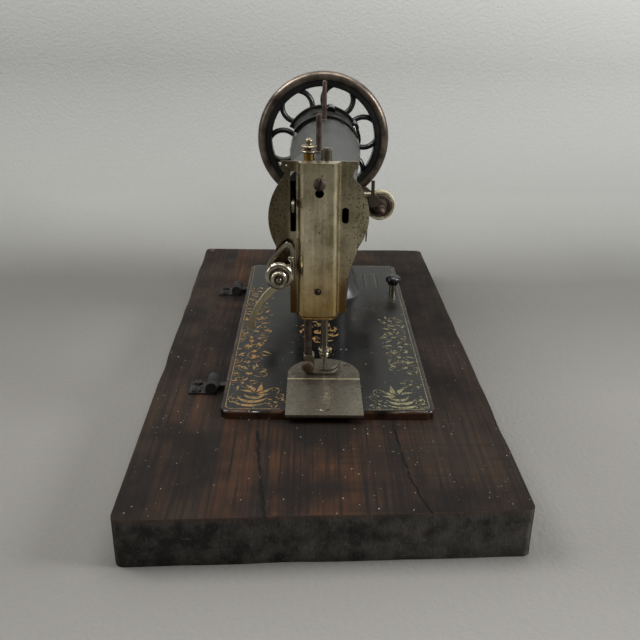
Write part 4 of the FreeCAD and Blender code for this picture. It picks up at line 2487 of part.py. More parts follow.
def shaft_brackets():
    """The two hangers under the bed that carry the hook shaft and the feed shaft."""
    hangers = []
    for number in (0, 1):
        x = s.bearing_x + s.bearing_spacing * number
        low = BED_Z - s.feed_shaft_z - s.bearing_wall - s.feed_rod_radius
        top = BED_Z - s.bed_thickness
        outline = [
            (NEEDLE_Y - s.feed_y - s.bearing_wall, low),
            (NEEDLE_Y - s.feed_y + s.bearing_wall, low),
            (NEEDLE_Y + s.bearing_wall, BED_Z + HOOK_Z - s.bearing_wall),
            (NEEDLE_Y + s.bearing_wall, top),
            (NEEDLE_Y - s.feed_y - s.bearing_wall, top),
        ]
        hangers.append(
            plate(
                f"shaft_bracket{number + 1}",
                "yz",
                BED_X + x,
                s.bearing_length,
                outline,
                ((NEEDLE_Y, BED_Z + HOOK_Z), s.hook_shaft_radius + s.running_gap),
                ((NEEDLE_Y - s.feed_y, BED_Z - s.feed_shaft_z), s.hook_shaft_radius + s.running_gap),
            )
        )
    return node("shaft_brackets", together("shaft_brackets_pair", *hangers))


def pitman():
    """The rod from the eccentric down to the hook shaft's disc."""
    x = s.eccentric_x + s.eccentric_length + s.pivot_gap
    centre_z = SHAFT[1] - s.eccentric_throw
    strap_out = s.eccentric_radius + s.strap_gap + s.strap_wall
    strap = rod("strap_out", at(x, SHAFT[0], centre_z), strap_out, s.pitman_thickness, "x")
    low = HOOK_Z - s.eccentric_throw
    bar = box(
        "pitman_bar",
        at(x, SHAFT[0] - s.pitman_width / 2, low),
        s.pitman_thickness,
        s.pitman_width,
        centre_z - low,
    )
    foot = rod("pitman_foot", at(x, 0, low), s.pitman_thickness, s.pitman_thickness, "x")
    hole = rod(
        "strap_in", at(x, SHAFT[0], centre_z), s.eccentric_radius + s.strap_gap, s.pitman_thickness, "x"
    )
    return node("pitman", cut("pitman_cut", fuse("pitman_blank", strap, bar, foot), hole))


def feed_dog():
    """Two toothed strips under the needle plate, on a block with the feed rod."""
    strips = []
    for number, side in enumerate((-1, 1), start=1):
        left = s.needle_x + side * s.feed_tooth_spacing / 2 - s.feed_tooth_width / 2
        strips.append(feed_strip(number, left))
    base_x = s.needle_x - s.feed_tooth_spacing / 2 - s.feed_tooth_width / 2
    block_end = s.feed_block_x + s.feed_block_length
    base = box(
        "feed_base",
        at(base_x, -s.feed_tooth_length / 2, -s.feed_base_drop - s.feed_tooth_width),
        block_end - base_x,
        s.feed_tooth_length,
        s.feed_tooth_width,
    )
    opening = box(
        "feed_opening",
        at(s.needle_x - s.feed_opening, -s.feed_opening, -s.feed_base_drop - s.feed_tooth_width),
        s.feed_opening * 2,
        s.feed_opening * 2 + s.feed_travel,
        s.feed_tooth_width,
    )
    riser_low = -s.feed_rod_z - s.feed_rod_radius
    riser = box(
        "feed_riser",
        at(s.feed_block_x, -s.feed_tooth_length / 2, riser_low),
        s.feed_block_length,
        s.feed_tooth_length,
        -s.feed_base_drop - riser_low,
    )
    bridge = box(
        "feed_bridge",
        at(s.feed_block_x, -s.feed_y - s.feed_rod_radius, riser_low),
        s.feed_block_length,
        s.feed_y + s.feed_rod_radius,
        s.feed_rod_radius * 2,
    )
    bar = rod(
        "feed_bar",
        at(block_end, -s.feed_y, -s.feed_rod_z),
        s.feed_rod_radius,
        s.feed_rod_length,
        "x",
    )
    blank = fuse("feed_dog_blank", base, riser, bridge, bar)
    return node("feed_dog", fuse("feed_dog_whole", cut("feed_dog_open", blank, opening), *strips))


def feed_strip(number, left):
    """One strip of teeth that rise just through the needle plate."""
    half = s.feed_tooth_length / 2
    pitch = s.feed_tooth_length / FEED_TEETH
    top = BED_Z + s.feed_tooth_top
    root = top - s.feed_tooth_depth
    outline = [(NEEDLE_Y - half, BED_Z - s.feed_base_drop), (NEEDLE_Y + half, BED_Z - s.feed_base_drop)]
    for tooth in range(FEED_TEETH):
        here = NEEDLE_Y + half - pitch * tooth
        outline += [(here, top), (here - pitch, root)]
    return plate(f"feed_strip{number}", "yz", BED_X + left, s.feed_tooth_width, outline)


def feed_shaft():
    """The rocking shaft with the fork that moves the feed dog."""
    end = s.bearing_x + s.bearing_spacing + s.bearing_length
    bar = rod(
        "feed_shaft_bar",
        at(s.feed_arm_x, -s.feed_y, -s.feed_shaft_z),
        s.hook_shaft_radius,
        end - s.feed_arm_x,
        "x",
    )
    half = s.feed_rod_radius + s.hinge_gap + s.feed_arm_wall
    height = s.feed_shaft_z - s.feed_rod_z + s.feed_rod_radius
    fork = box(
        "feed_fork",
        at(s.feed_arm_x, -s.feed_y - half, -s.feed_shaft_z),
        s.feed_arm_thickness,
        half * 2,
        height,
    )
    gap = s.feed_rod_radius + s.hinge_gap
    slot = box(
        "feed_fork_slot",
        at(s.feed_arm_x, -s.feed_y - gap, -s.feed_rod_z - gap),
        s.feed_arm_thickness,
        gap * 2,
        gap + s.feed_rod_radius,
    )
    eye = rod(
        "feed_fork_eye", at(s.feed_arm_x, -s.feed_y, -s.feed_shaft_z), half, s.feed_arm_thickness, "x"
    )
    open_fork = cut("feed_fork_cut", fuse("feed_fork_blank", fork, eye), slot)
    return node("feed_shaft", fuse("feed_shaft_whole", bar, open_fork))




def finish():
    """Recomputes the document, checks every object and writes one file for each piece."""
    doc.recompute()
    for thing in doc.Objects:
        if "Invalid" in thing.State or "Error" in thing.State:
            raise SystemExit(f"{thing.Name} failed: {thing.State}")
    os.makedirs("parts", exist_ok=True)
    for name, thing in nodes.items():
        shape = thing.Shape
        if shape.isNull() or not shape.isValid():
            raise SystemExit(f"{name} has no valid shape")
        shape.exportStep(f"parts/{name}.step")
        print(f"{name}: {len(shape.Solids)} solids, {shape.Volume:.0f} mm3")


base_board()
hinge_plates()
hinge_lugs()
hinge_pins()
hinge_screws()
corner_screw()
bed()
cover_plate()
needle_plate()
plate_screws()
slide_plate()
arm()
arm_bolts()
face_plate()
face_plate_screws()
needle_bar()
needle_bar_bushings()
needle_link()
needle_clamp()
clamp_screw()
needle()
main_shaft()
shaft_bushings()
needle_crank()
take_up_lever()
pivot_screws()
presser_bar()
presser_bracket()
presser_foot()
foot_screw()
presser_spring()
pressure_screw()
presser_lifter()
tension_stud()
tension_discs()
tension_spring()
tension_nut()
check_spring()
thread_bracket()
handwheel()
stop_motion_screw()
belt_guard()
guard_screws()
spool_pins()
winder_bracket()
winder_arm()
winder_spindle()
winder_tyre()
winder_wire()
bed_knob()
knob_stem()
shuttle_race()
hook()
bobbin_case()
bobbin()
shaft_brackets()
pitman()
feed_dog()
feed_shaft()
finish()
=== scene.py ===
# %% [markdown]
# # Dressing an antique sewing machine head
# This lesson takes a plain CAD model of an old lock-stitch sewing machine, hinged on a plank,
# and gives it the surfaces that a century of use leaves: dusty black japan with tired gold lines,
# warm nickel with rust at its edges, bare steel gone brown and a worn, cracked plank.
# The CAD pieces come in as a fixed frame. We add to them, but never move or change them.

# %% Load the frame
import json
import math

import bpy
from mathutils import Matrix, Vector
from mathutils import noise as fixed


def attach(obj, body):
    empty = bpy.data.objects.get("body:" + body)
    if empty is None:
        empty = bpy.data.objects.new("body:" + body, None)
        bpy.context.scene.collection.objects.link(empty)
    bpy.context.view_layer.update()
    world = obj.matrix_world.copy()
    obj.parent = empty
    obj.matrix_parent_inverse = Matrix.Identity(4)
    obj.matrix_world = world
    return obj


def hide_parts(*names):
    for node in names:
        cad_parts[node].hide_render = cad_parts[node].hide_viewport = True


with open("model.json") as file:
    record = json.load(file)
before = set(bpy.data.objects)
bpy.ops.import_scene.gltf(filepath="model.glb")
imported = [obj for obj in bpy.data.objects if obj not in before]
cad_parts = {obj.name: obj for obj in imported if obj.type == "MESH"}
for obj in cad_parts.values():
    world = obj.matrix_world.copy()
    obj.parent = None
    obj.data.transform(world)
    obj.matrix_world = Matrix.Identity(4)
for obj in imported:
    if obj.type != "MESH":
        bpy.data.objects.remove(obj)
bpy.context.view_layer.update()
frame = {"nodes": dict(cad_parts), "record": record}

# %% [markdown]
# The makers of these heads measured from the bed, so we do too: x from the bed's needle end,
# y back from the needle and z up from the bed's top, all in millimetres. One helper turns such a
# place into the model's metres, so the numbers below read like a workshop drawing.

# %% A place on the head, in millimetres
BED_ORIGIN = (-161.5, -5.4, 46.3)


def at(x, y, z):
    """The place in metres of a point that is given in millimetres from the bed's needle end."""
    return Vector(((x + BED_ORIGIN[0]) / 1000, (y + BED_ORIGIN[1]) / 1000, (z + BED_ORIGIN[2]) / 1000))


# %% [markdown]
# Everything in a fresh file may be selected, and a Blender operator acts on all of it. So each
# piece starts by clearing the selection, and ends by taking its place: riding on the body that
# carries it, standing for the CAD nodes that it replaces, and wearing its finish.

# %% Selection and settling helpers
def clear_selection():
    """Leaves edit mode, if it is on, and deselects everything."""
    if bpy.context.object and bpy.context.object.mode == "EDIT":
        bpy.ops.object.mode_set(mode="OBJECT")
    bpy.ops.object.select_all(action="DESELECT")


def only(piece):
    """Makes one object the selected and active one."""
    clear_selection()
    piece.select_set(True)
    bpy.context.view_layer.objects.active = piece
    return piece


def settle(piece, name, body, slot, material, *nodes):
    """Freezes a finished piece's place into its mesh, and says what it rides on and replaces."""
    only(piece)
    bpy.ops.object.transform_apply(location=True, rotation=True, scale=True)
    piece.name = name
    piece.data.name = name
    piece.data.materials.clear()
    piece.data.materials.append(material)
    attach(piece, body)
    if nodes:
        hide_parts(*nodes)
    print(f"{name}: {len(piece.data.polygons)} faces on {body}")
    return piece


# %% [markdown]
# A material is a small network of nodes. One function adds any node, sets its settings and wires
# its inputs; another turns a colour written as a paint chart would write it into light values.
# The steps of ageing are built on them: clouds of a real size, a coat of one colour over another
# where the clouds pass a level, and a measurement stirred by clouds so that its edge is ragged.

# %% Nodes and the steps of ageing
def colour(code):
    """A linear colour from an sRGB hex code."""
    parts = [int(code[i : i + 2], 16) / 255 for i in (1, 3, 5)]
    return (*[p / 12.92 if p <= 0.04045 else ((p + 0.055) / 1.055) ** 2.4 for p in parts], 1.0)


def add(tree, kind, *values, **settings):
    """Adds one node. Values fill its visible sockets in order, and a setting may name a socket too."""
    made = tree.nodes.new("ShaderNode" + kind)
    named = {key: settings.pop(key) for key in list(settings) if key in made.inputs}
    for key, value in settings.items():
        setattr(made, key, value)
    visible = [socket for socket in made.inputs if socket.enabled]
    filled = [*zip(visible, values), *((made.inputs[key], value) for key, value in named.items())]
    for socket, value in filled:
        if isinstance(value, bpy.types.NodeSocket):
            tree.links.new(value, socket)
        else:
            socket.default_value = value
    given = [socket for socket in made.outputs if socket.enabled]
    return given[0] if len(given) == 1 else given


def clouds(tree, place, millimetres, detail=3.0, stretch=(1, 1, 1), roughness=0.55):
    """Cloudy patches that are about so many millimetres across, as values round a half."""
    scaled = add(tree, "Mapping", place, Scale=stretch)
    return add(tree, "TexNoise", scaled, 1000 / millimetres, detail, roughness)[0]


def coat(tree, under, over, value, low=0, high=1, strength=1):
    """Lays one colour over another where a value passes from low to high, up to a strength."""
    share = add(tree, "MapRange", value, low, high, 0, strength)
    return add(tree, "Mix", share, under, over, data_type="RGBA")


def away(tree, value, middle):
    """How far a value lies from a middle, on either side."""
    past = add(tree, "Math", value, middle, operation="SUBTRACT")
    return add(tree, "Math", past, operation="ABSOLUTE")


def stirred(tree, value, cloud, low, high, least, most):
    """A value with a cloud's swing added, so that an edge drawn from it is ragged."""
    swing = add(tree, "MapRange", cloud, low, high, least, most)
    return add(tree, "Math", value, swing, operation="ADD")


def finish_material(name, build, metallic=0.0, ior=None):
    """Makes a material whose build function returns its colour, roughness, bump height and depth."""
    material = bpy.data.materials.new(name)
    material.use_nodes = True
    tree = material.node_tree
    shader = tree.nodes["Principled BSDF"]
    place = tree.nodes.new("ShaderNodeTexCoord").outputs["Object"]
    base, roughness, height, depth = build(tree, place)
    tree.links.new(base, shader.inputs["Base Color"])
    tree.links.new(roughness, shader.inputs["Roughness"])
    shader.inputs["Metallic"].default_value = metallic
    if ior is not None:
        shader.inputs["IOR"].default_value = ior
    bump = add(tree, "Bump", Height=height, Distance=depth / 1000, Strength=1.0)
    tree.links.new(bump, shader.inputs["Normal"])
    return material


# %% [markdown]
# **Japan** is asphalt varnish, stoved on iron until it is hard and black. A hundred years on it
# is no mirror: dust sits in a soft grey film, oil leaves brown patches, and small chips show the
# iron. We mix those three at their own sizes: dust over hand-wide areas, oil over a thumb's
# width, and chips of a millimetre or two. A varnish bends light by about 1.5; where dust has
# dulled it we give it less, and its mirror weakens with it.

# %% Black japan
BED_LENGTH, BED_FRONT, BED_BACK = 371, -91.4, 86.8
BED_MIDDLE = at(BED_LENGTH / 2, (BED_FRONT + BED_BACK) / 2, 0)
BED_HALF = (BED_LENGTH / 2000, (BED_BACK - BED_FRONT) / 2000)


def past_edge(tree, place, middle, half_x, half_y):
    """How many metres a point lies outside a rectangle seen from above, negative inside it."""
    x, y = add(tree, "SeparateXYZ", place)[:2]
    past_x = add(tree, "Math", away(tree, x, middle.x), half_x, operation="SUBTRACT")
    past_y = add(tree, "Math", away(tree, y, middle.y), half_y, operation="SUBTRACT")
    return add(tree, "Math", past_x, past_y, operation="MAXIMUM")


def bed_rim(tree, place):
    """1 on the bed's outermost millimetres, broken up by clouds, and 0 inside them."""
    past = past_edge(tree, place, BED_MIDDLE, *BED_HALF)
    ragged = stirred(tree, past, clouds(tree, place, 6, 4), 0.3, 0.7, -0.0016, 0.0016)
    return add(tree, "MapRange", ragged, -0.0024, -0.0012)


def japan(black, dust, chips=0.70, shine=0.34, rim=False, shaded_from=None):
    """Black japan under dust. Beyond one x it turns near black and smoother, as painted shade at the arm's
    far end.
    """

    def build(tree, place):
        film = clouds(tree, place, 70, 5)
        grain = clouds(tree, place, 1.6, 2)
        oil = clouds(tree, place, 22, 4)
        specks = clouds(tree, place, 2.6, 1)
        base = coat(tree, colour(black), colour(dust), film, 0.38, 0.68)
        base = coat(tree, base, colour("#3a2c20"), oil, 0.60, 0.78, 0.55)
        if rim:
            patches = add(tree, "MapRange", oil, 0.36, 0.52)
            worn = add(tree, "Math", bed_rim(tree, place), patches, operation="MULTIPLY")
            base = coat(tree, base, colour("#3b271b"), worn)
        # Painted shade: past shaded_from the arm's far end is coated near black and made smoother.
        if shaded_from is not None:
            x = add(tree, "SeparateXYZ", place)[0]
            along = stirred(tree, x, oil, 0, 1, 0, 0.008)
            shaded_share = add(tree, "MapRange", along, shaded_from, shaded_from + 0.018)
            base = coat(tree, base, colour("#070707"), shaded_share)
        base = coat(tree, base, colour("#8d8576"), specks, chips, chips + 0.02)
        dulled = add(tree, "MapRange", film, 0.3, 0.7, shine, shine + 0.18)
        rough = stirred(tree, dulled, grain, 0, 1, 0, 0.06)
        if shaded_from is not None:
            rough = add(tree, "MapRange", shaded_share, 0, 1, rough, 0.16)
        return base, rough, grain, 0.02

    return build


# Where the arm's painted shade begins.
ARM_SHADE_START = at(273, 0, 0).x
bed_japan = finish_material(
    "dusty_black_japan", japan("#050506", "#151411", 0.755, 0.10, rim=True), ior=1.38
)
arm_japan = finish_material(
    "faded_black_japan", japan("#161718", "#2f302d", 0.785, 0.28, shaded_from=ARM_SHADE_START), ior=1.5
)
guard_japan = finish_material("rough_black_japan", japan("#070706", "#171512", 0.78, 0.34), ior=1.28)
print("black japan:", bed_japan.name, arm_japan.name, guard_japan.name)

# %% [markdown]
# The **small cover** on the bed is hard to see, black on black. What shows it is the dark gap
# round it and the grey line where its edge has been rubbed. Both are bands of a set distance
# from the cover's edge, so one measurement draws them.

# %% The cover's outline
COVER_MIDDLE = at(316.2, -57.6, 0)
COVER_HALF = (0.0252, 0.0078)


def cover_finish(tree, place):
    """Black japan on the small cover, outlined by the dark gap round it and its rubbed edge."""
    base, rough, grain, depth = japan("#141413", "#2c2b27", 0.79, 0.3)(tree, place)
    past = past_edge(tree, place, COVER_MIDDLE, *COVER_HALF)
    base = coat(tree, base, colour("#5a584f"), past, -0.0024, -0.0018)
    base = coat(tree, base, colour("#020202"), past, -0.0016, -0.0013)
    return base, rough, grain, depth


cover_japan = finish_material("japanned_cover", cover_finish, ior=1.45)

# %% [markdown]
# **Nickel plate** is a thin warm-grey metal over steel. Handling dulls it, and where damp gets
# under it, brown rust creeps in from the edges. A metal's colour is its reflection, so the base
# colour is light and the roughness does the ageing. The rust is not metal, so it darkens the
# reflection and roughens it.

# %% Nickel plate
def plated(light, dull, rust, rust_from, rust_to, rough=(0.24, 0.42)):
    """Metal that is light and dull in clouds and streaks, and rusty where the spots pass a level."""

    def build(tree, place):
        cloud = clouds(tree, place, 18, 5)
        fine = clouds(tree, place, 1.1, 2)
        spots = clouds(tree, place, 6.5, 6, roughness=0.7)
        streak = clouds(tree, place, 3, 4, (1, 1, 0.07), 0.6)
        clouded = add(tree, "MapRange", cloud, 0.3, 0.7, 0, 0.7)
        mottle = stirred(tree, clouded, streak, 0.35, 0.7, 0, 0.45)
        base = coat(tree, colour(light), colour(dull), mottle)
        base = coat(tree, base, colour(rust), spots, rust_from, rust_to)
        roughness = add(tree, "MapRange", cloud, 0.3, 0.7, *rough)
        roughness = stirred(tree, roughness, spots, rust_from, rust_to, 0, 0.35)
        return base, roughness, fine, 0.02

    return build


nickel = finish_material(
    "worn_nickel_plate", plated("#aaa290", "#6f6857", "#4a3626", 0.62, 0.80), metallic=0.95
)
lever_nickel = finish_material(
    "handled_nickel_plate", plated("#e0d9bf", "#b3a886", "#6a5438", 0.72, 0.86), metallic=0.9
)
bright_nickel = finish_material(
    "rubbed_nickel", plated("#c8c3b2", "#837b68", "#3a2d20", 0.66, 0.80, rough=(0.18, 0.3)), metallic=0.98
)
print("nickel:", nickel.name, lever_nickel.name, bright_nickel.name)

# %% [markdown]
# The **face plate** has aged unevenly: yellow below, where oil ran down, and brown along its edges,
# with painted shade behind the tension. Each of these is a soft band of height or depth, and one slow noise
# pushes the bands about so that none of them ends in a straight line.

# %% The face plate's nickel
FACE_MIDDLE = 6.3


def face_finish(tree, place):
    """Nickel that has yellowed below, with brown edges and painted shade behind the tension on the left
    flange.
    """
    sheet = plated("#e2d7b8", "#8f8464", "#4f3d28", 0.64, 0.80, rough=(0.15, 0.32))
    base, roughness, height, depth = sheet(tree, place)
    y, z = add(tree, "SeparateXYZ", place)[1:]
    slow = clouds(tree, place, 12, 5, (1, 1, 0.4), 0.65)
    drifted_y = stirred(tree, y, slow, 0.25, 0.75, -0.012, 0.012)
    drifted_z = stirred(tree, z, slow, 0.25, 0.75, -0.012, 0.012)
    base = coat(tree, base, colour("#a5833f"), drifted_z, at(0, 0, 122).z, at(0, 0, 70).z, 0.75)
    # Painted shade: the left flange, behind the tension, is darkened.
    base = coat(tree, base, colour("#5f533e"), drifted_y, at(0, 20, 0).y, at(0, 30, 0).y, 0.8)
    off_middle = away(tree, y, at(0, FACE_MIDDLE, 0).y)
    edges = add(tree, "MapRange", off_middle, 0.0165, 0.019)
    base = coat(tree, base, colour("#4f4634"), edges, 0, 1, 0.35)
    below = add(tree, "MapRange", drifted_z, at(0, 0, 104).z, at(0, 0, 80).z)
    low_edges = add(tree, "Math", edges, below, operation="MULTIPLY")
    ragged_z = stirred(tree, z, slow, 0.25, 0.75, -0.002, 0.002)
    foot = add(tree, "MapRange", ragged_z, at(0, 0, 65.5).z, at(0, 0, 63).z)
    rust = add(tree, "Math", low_edges, foot, operation="MAXIMUM")
    base = coat(tree, base, colour("#65421c"), rust, 0, 1, 0.7)
    pits = stirred(tree, clouds(tree, place, 1.7, 2), off_middle, 0.012, 0.034, 0, 0.09)
    base = coat(tree, base, colour("#2a231a"), pits, 0.65, 0.70, 0.75)
    return base, stirred(tree, roughness, rust, 0, 1, 0, 0.3), height, depth


face_nickel = finish_material("face_nickel_plate", face_finish, metallic=0.95)

# %% [markdown]
# The **slide and needle plates** lie where the cloth runs, so their nickel is rubbed grey. Oil
# has stained both sides of the joint between them, a painted highlight runs along the joint's edge, and one
# screw hole keeps a dark ring. The joint is a distance from one x, and the hole one from an upright line.

# %% The slide and needle plates' nickel
SLIDE_JOINT = 57.5
PLATE_HOLE = (82.9, -20.5)


def off_line(tree, place, point, across):
    """The distance in metres from a line through a point. Across is 0 along the line and 1 off it."""
    offset = add(tree, "VectorMath", place, tuple(point), operation="SUBTRACT")
    flat = add(tree, "VectorMath", offset, across, operation="MULTIPLY")
    return add(tree, "VectorMath", flat, operation="LENGTH")


def slide_finish(tree, place):
    """Nickel worn grey by cloth, stained brown near the joint, with a painted highlight along the joint's
    edge.
    """
    sheet = plated("#948e80", "#6b6456", "#3a3024", 0.56, 0.74, rough=(0.22, 0.38))
    base, roughness, height, depth = sheet(tree, place)
    joint = away(tree, add(tree, "SeparateXYZ", place)[0], at(SLIDE_JOINT, 0, 0).x)
    near_joint = add(tree, "MapRange", joint, 0.018, 0.004)
    blotches = add(tree, "MapRange", clouds(tree, place, 9, 5), 0.4, 0.65)
    stain = add(tree, "Math", near_joint, blotches, operation="MULTIPLY")
    base = coat(tree, base, colour("#40382a"), stain, 0, 1, 0.6)
    # Painted highlight: a pale line along the joint's edge.
    base = coat(tree, base, colour("#e6dcb4"), joint, 0.0011, 0.0007)
    off_hole = off_line(tree, place, at(*PLATE_HOLE, 0), (1, 1, 0))
    base = coat(tree, base, colour("#1c1610"), off_hole, 0.0036, 0.0032)
    base = coat(tree, base, colour("#6f675a"), off_hole, 0.0021, 0.0018)
    return base, roughness, height, depth


slide_nickel = finish_material("slide_nickel_plate", slide_finish, metallic=0.85)

# %% [markdown]
# **Steel and brass** make the small parts. Turned steel that is still oiled keeps its shine;
# where it is rusted or grimy, part of what we see is a film of oxide and oil and no metal at
# all, so it is only partly metallic, and the film bends light as oil does.

# %% Steel and brass
OIL_IOR = 1.45
steel = finish_material("oiled_steel", plated("#8f897c", "#5e574b", "#3d2d20", 0.58, 0.80), metallic=0.92)
brass = finish_material("dull_brass", plated("#a08452", "#6e5836", "#3a2d1c", 0.60, 0.80), metallic=0.92)


def filmed_steel(name, light, dull, rust, rust_levels, rough, metallic):
    """Steel under a film of rust or grime."""
    return finish_material(name, plated(light, dull, rust, *rust_levels, rough), metallic, OIL_IOR)


rusty = filmed_steel(
    "brown_rusted_steel", "#62544c", "#41342c", "#33251d", (0.42, 0.62), rough=(0.40, 0.55), metallic=0.55
)
rust_brown = filmed_steel(
    "light_rust", "#4a3a2a", "#352619", "#20160f", (0.50, 0.70), rough=(0.5, 0.65), metallic=0.3
)
iron = filmed_steel(
    "grimy_black_iron", "#1a1512", "#0e0b09", "#0b0806", (0.45, 0.65), rough=(0.5, 0.7), metallic=0.1
)
grimy = filmed_steel(
    "grimy_turned_steel", "#6d6455", "#41382c", "#241c15", (0.50, 0.70), rough=(0.4, 0.55), metallic=0.7
)
ribbed = filmed_steel(
    "ribbed_brown_steel", "#5f5044", "#382c24", "#1c1511", (0.50, 0.70), rough=(0.45, 0.6), metallic=0.4
)


def brass_foot(tree, place):
    """Nickel that has worn through to brass below the lowest disc."""
    base, roughness, height, depth = plated("#a89d86", "#5f5646", "#3a2d1c", 0.60, 0.80)(tree, place)
    z = add(tree, "SeparateXYZ", place)[2]
    base = coat(tree, base, colour("#9a7a42"), z, at(0, 0, 197.4).z, at(0, 0, 196.8).z)
    return base, roughness, height, depth


brass_to_nickel = finish_material("nickel_worn_to_brass", brass_foot, metallic=0.95)

# %% [markdown]
# **Cream rubber** hardens with age, and its skin splits into a net of fine cracks. Voronoi cell
# edges draw such a net: each cell is an island of skin about three millimetres wide.

# %% Cracked rubber and the black knob
def cracked_rubber(tree, place):
    """Cream rubber whose skin has split into small islands with grime between them."""
    cells = add(tree, "TexVoronoi", place, 1000 / 3.2, feature="DISTANCE_TO_EDGE")
    skin_share = add(tree, "MapRange", cells, 0.0, 0.07)
    grime = clouds(tree, place, 7, 4)
    skin = coat(tree, colour("#c9bf9f"), colour("#8f8263"), grime, 0.35, 0.7)
    base = coat(tree, colour("#4a3d28"), skin, skin_share)
    return base, add(tree, "MapRange", grime, 0, 1, 0.6, 0.85), skin_share, 0.3


def moulded_black(tree, place):
    """A pressed black composition, greyed a little where fingers turn it."""
    wear = clouds(tree, place, 4, 3)
    base = coat(tree, colour("#0b0b0c"), colour("#2b2a29"), wear, 0.5, 0.75)
    return base, add(tree, "MapRange", wear, 0.3, 0.7, 0.18, 0.38), wear, 0.05


rubber = finish_material("cracked_cream_rubber", cracked_rubber, ior=1.52)
knob_black = finish_material("moulded_black_composition", moulded_black, ior=1.55)

# %% [markdown]
# The **handwheel** is one iron casting with two finishes: japanned in the middle, and turned
# bright on its rim, where hands have since browned it. The boundary is a circle round the
# wheel's axis, so the material measures its distance from that axis and changes there.

# %% The wheel's two finishes
AXLE = (-0.9, 153.4)
WHEEL_AXIS = at(388, *AXLE)
PAINT_END, BARE_START = 0.0684, 0.0690


def wheel_finish():
    """Black japan that gives way to bare, browned iron at the rim."""
    painted_iron = japan("#070708", "#141414", 0.80, 0.20)
    material = finish_material("japanned_wheel_with_bare_rim", painted_iron, ior=1.5)
    tree = material.node_tree
    shader = tree.nodes["Principled BSDF"]
    place = tree.nodes.new("ShaderNodeTexCoord").outputs["Object"]
    rim = add(tree, "MapRange", off_line(tree, place, WHEEL_AXIS, (0, 1, 1)), PAINT_END, BARE_START)
    hands = clouds(tree, place, 16, 4)
    metal = coat(tree, colour("#7c7064"), colour("#342b25"), hands, 0.35, 0.7)
    painted = shader.inputs["Base Color"].links[0].from_socket
    tree.links.new(coat(tree, painted, metal, rim), shader.inputs["Base Color"])
    tree.links.new(add(tree, "MapRange", rim, 0, 1, 0, 0.85), shader.inputs["Metallic"])
    return material


wheel_paint = wheel_finish()

# %% [markdown]
# The **plank** is old softwood under dark varnish. Two long cracks follow the grain and run down
# the end, and two short ones split the end alone. A crack is a chain of straight pieces: each
# point of the wood measures how far the nearest one is, and a noise bends them out of straight.

# %% Cracks in the wood
CRACKS = []
PLANK_TOP = -7.3


def segment_distance(tree, place, start, end):
    """The distance in metres from a straight crack between two points."""
    span = end - start
    offset = add(tree, "VectorMath", place, tuple(start), operation="SUBTRACT")
    along = add(tree, "VectorMath", offset, tuple(span), operation="DOT_PRODUCT")
    share = add(tree, "Math", along, 1 / span.length_squared, operation="MULTIPLY", use_clamp=True)
    nearest = add(tree, "VectorMath", tuple(span), share, operation="SCALE")
    rest = add(tree, "VectorMath", offset, nearest, operation="SUBTRACT")
    return add(tree, "VectorMath", rest, operation="LENGTH")


def crack_mask(tree, place):
    """1 in the cracks and 0 on sound wood."""
    wander = add(tree, "TexNoise", place, 90, 3)[1]
    centred = add(tree, "VectorMath", wander, (0.5, 0.5, 0.5), operation="SUBTRACT")
    push = add(tree, "VectorMath", centred, 0.006, operation="SCALE")
    bent = add(tree, "VectorMath", place, push, operation="ADD")
    total = 0.0
    for start, end, width in CRACKS:
        distance = segment_distance(tree, bent, start, end)
        near = add(tree, "MapRange", distance, width * 0.4, width, 1, 0)
        total = add(tree, "Math", total, near, operation="MAXIMUM")
    return total


def add_crack(points, width):
    """Records a crack that runs through several points, all in millimetres."""
    places = [at(*point) for point in points]
    for start, end in zip(places, places[1:]):
        CRACKS.append((start, end, width / 1000))


TOP = PLANK_TOP
add_crack([(-20, 54, TOP), (-60, 50, TOP), (-92, 46, TOP), (-134, 43, TOP)], 1.6)
add_crack([(-134, 43, TOP), (-134, 45, -9), (-134, 52, -19), (-134, 57, -30), (-134, 59, -43)], 2.4)
add_crack([(-8, -55, TOP), (-50, -58, TOP), (-90, -61, TOP), (-112, -67, TOP), (-132, -73, TOP)], 1.1)
add_crack([(-132, -70, TOP), (-132, -74, -18), (-132, -78, -36)], 1.8)
add_crack([(-133, -5, -14), (-133, -8, -38)], 0.5)
add_crack([(-133, -23, -12), (-133, -29, -35)], 0.5)
print("cracks:", len(CRACKS), "straight pieces")

# %% [markdown]
# The **varnish** has blackened with years of oil and dust, and has worn to a reddish brown along
# the middle. White specks of plaster sit on top, and painted shade lies round the hinges. The grain
# is noise stretched forty-five times along x. The sawn end shows no grain, only pits and dust.

# %% Varnished wood
HINGE_XS, HINGE_Y = (66, 280), 99


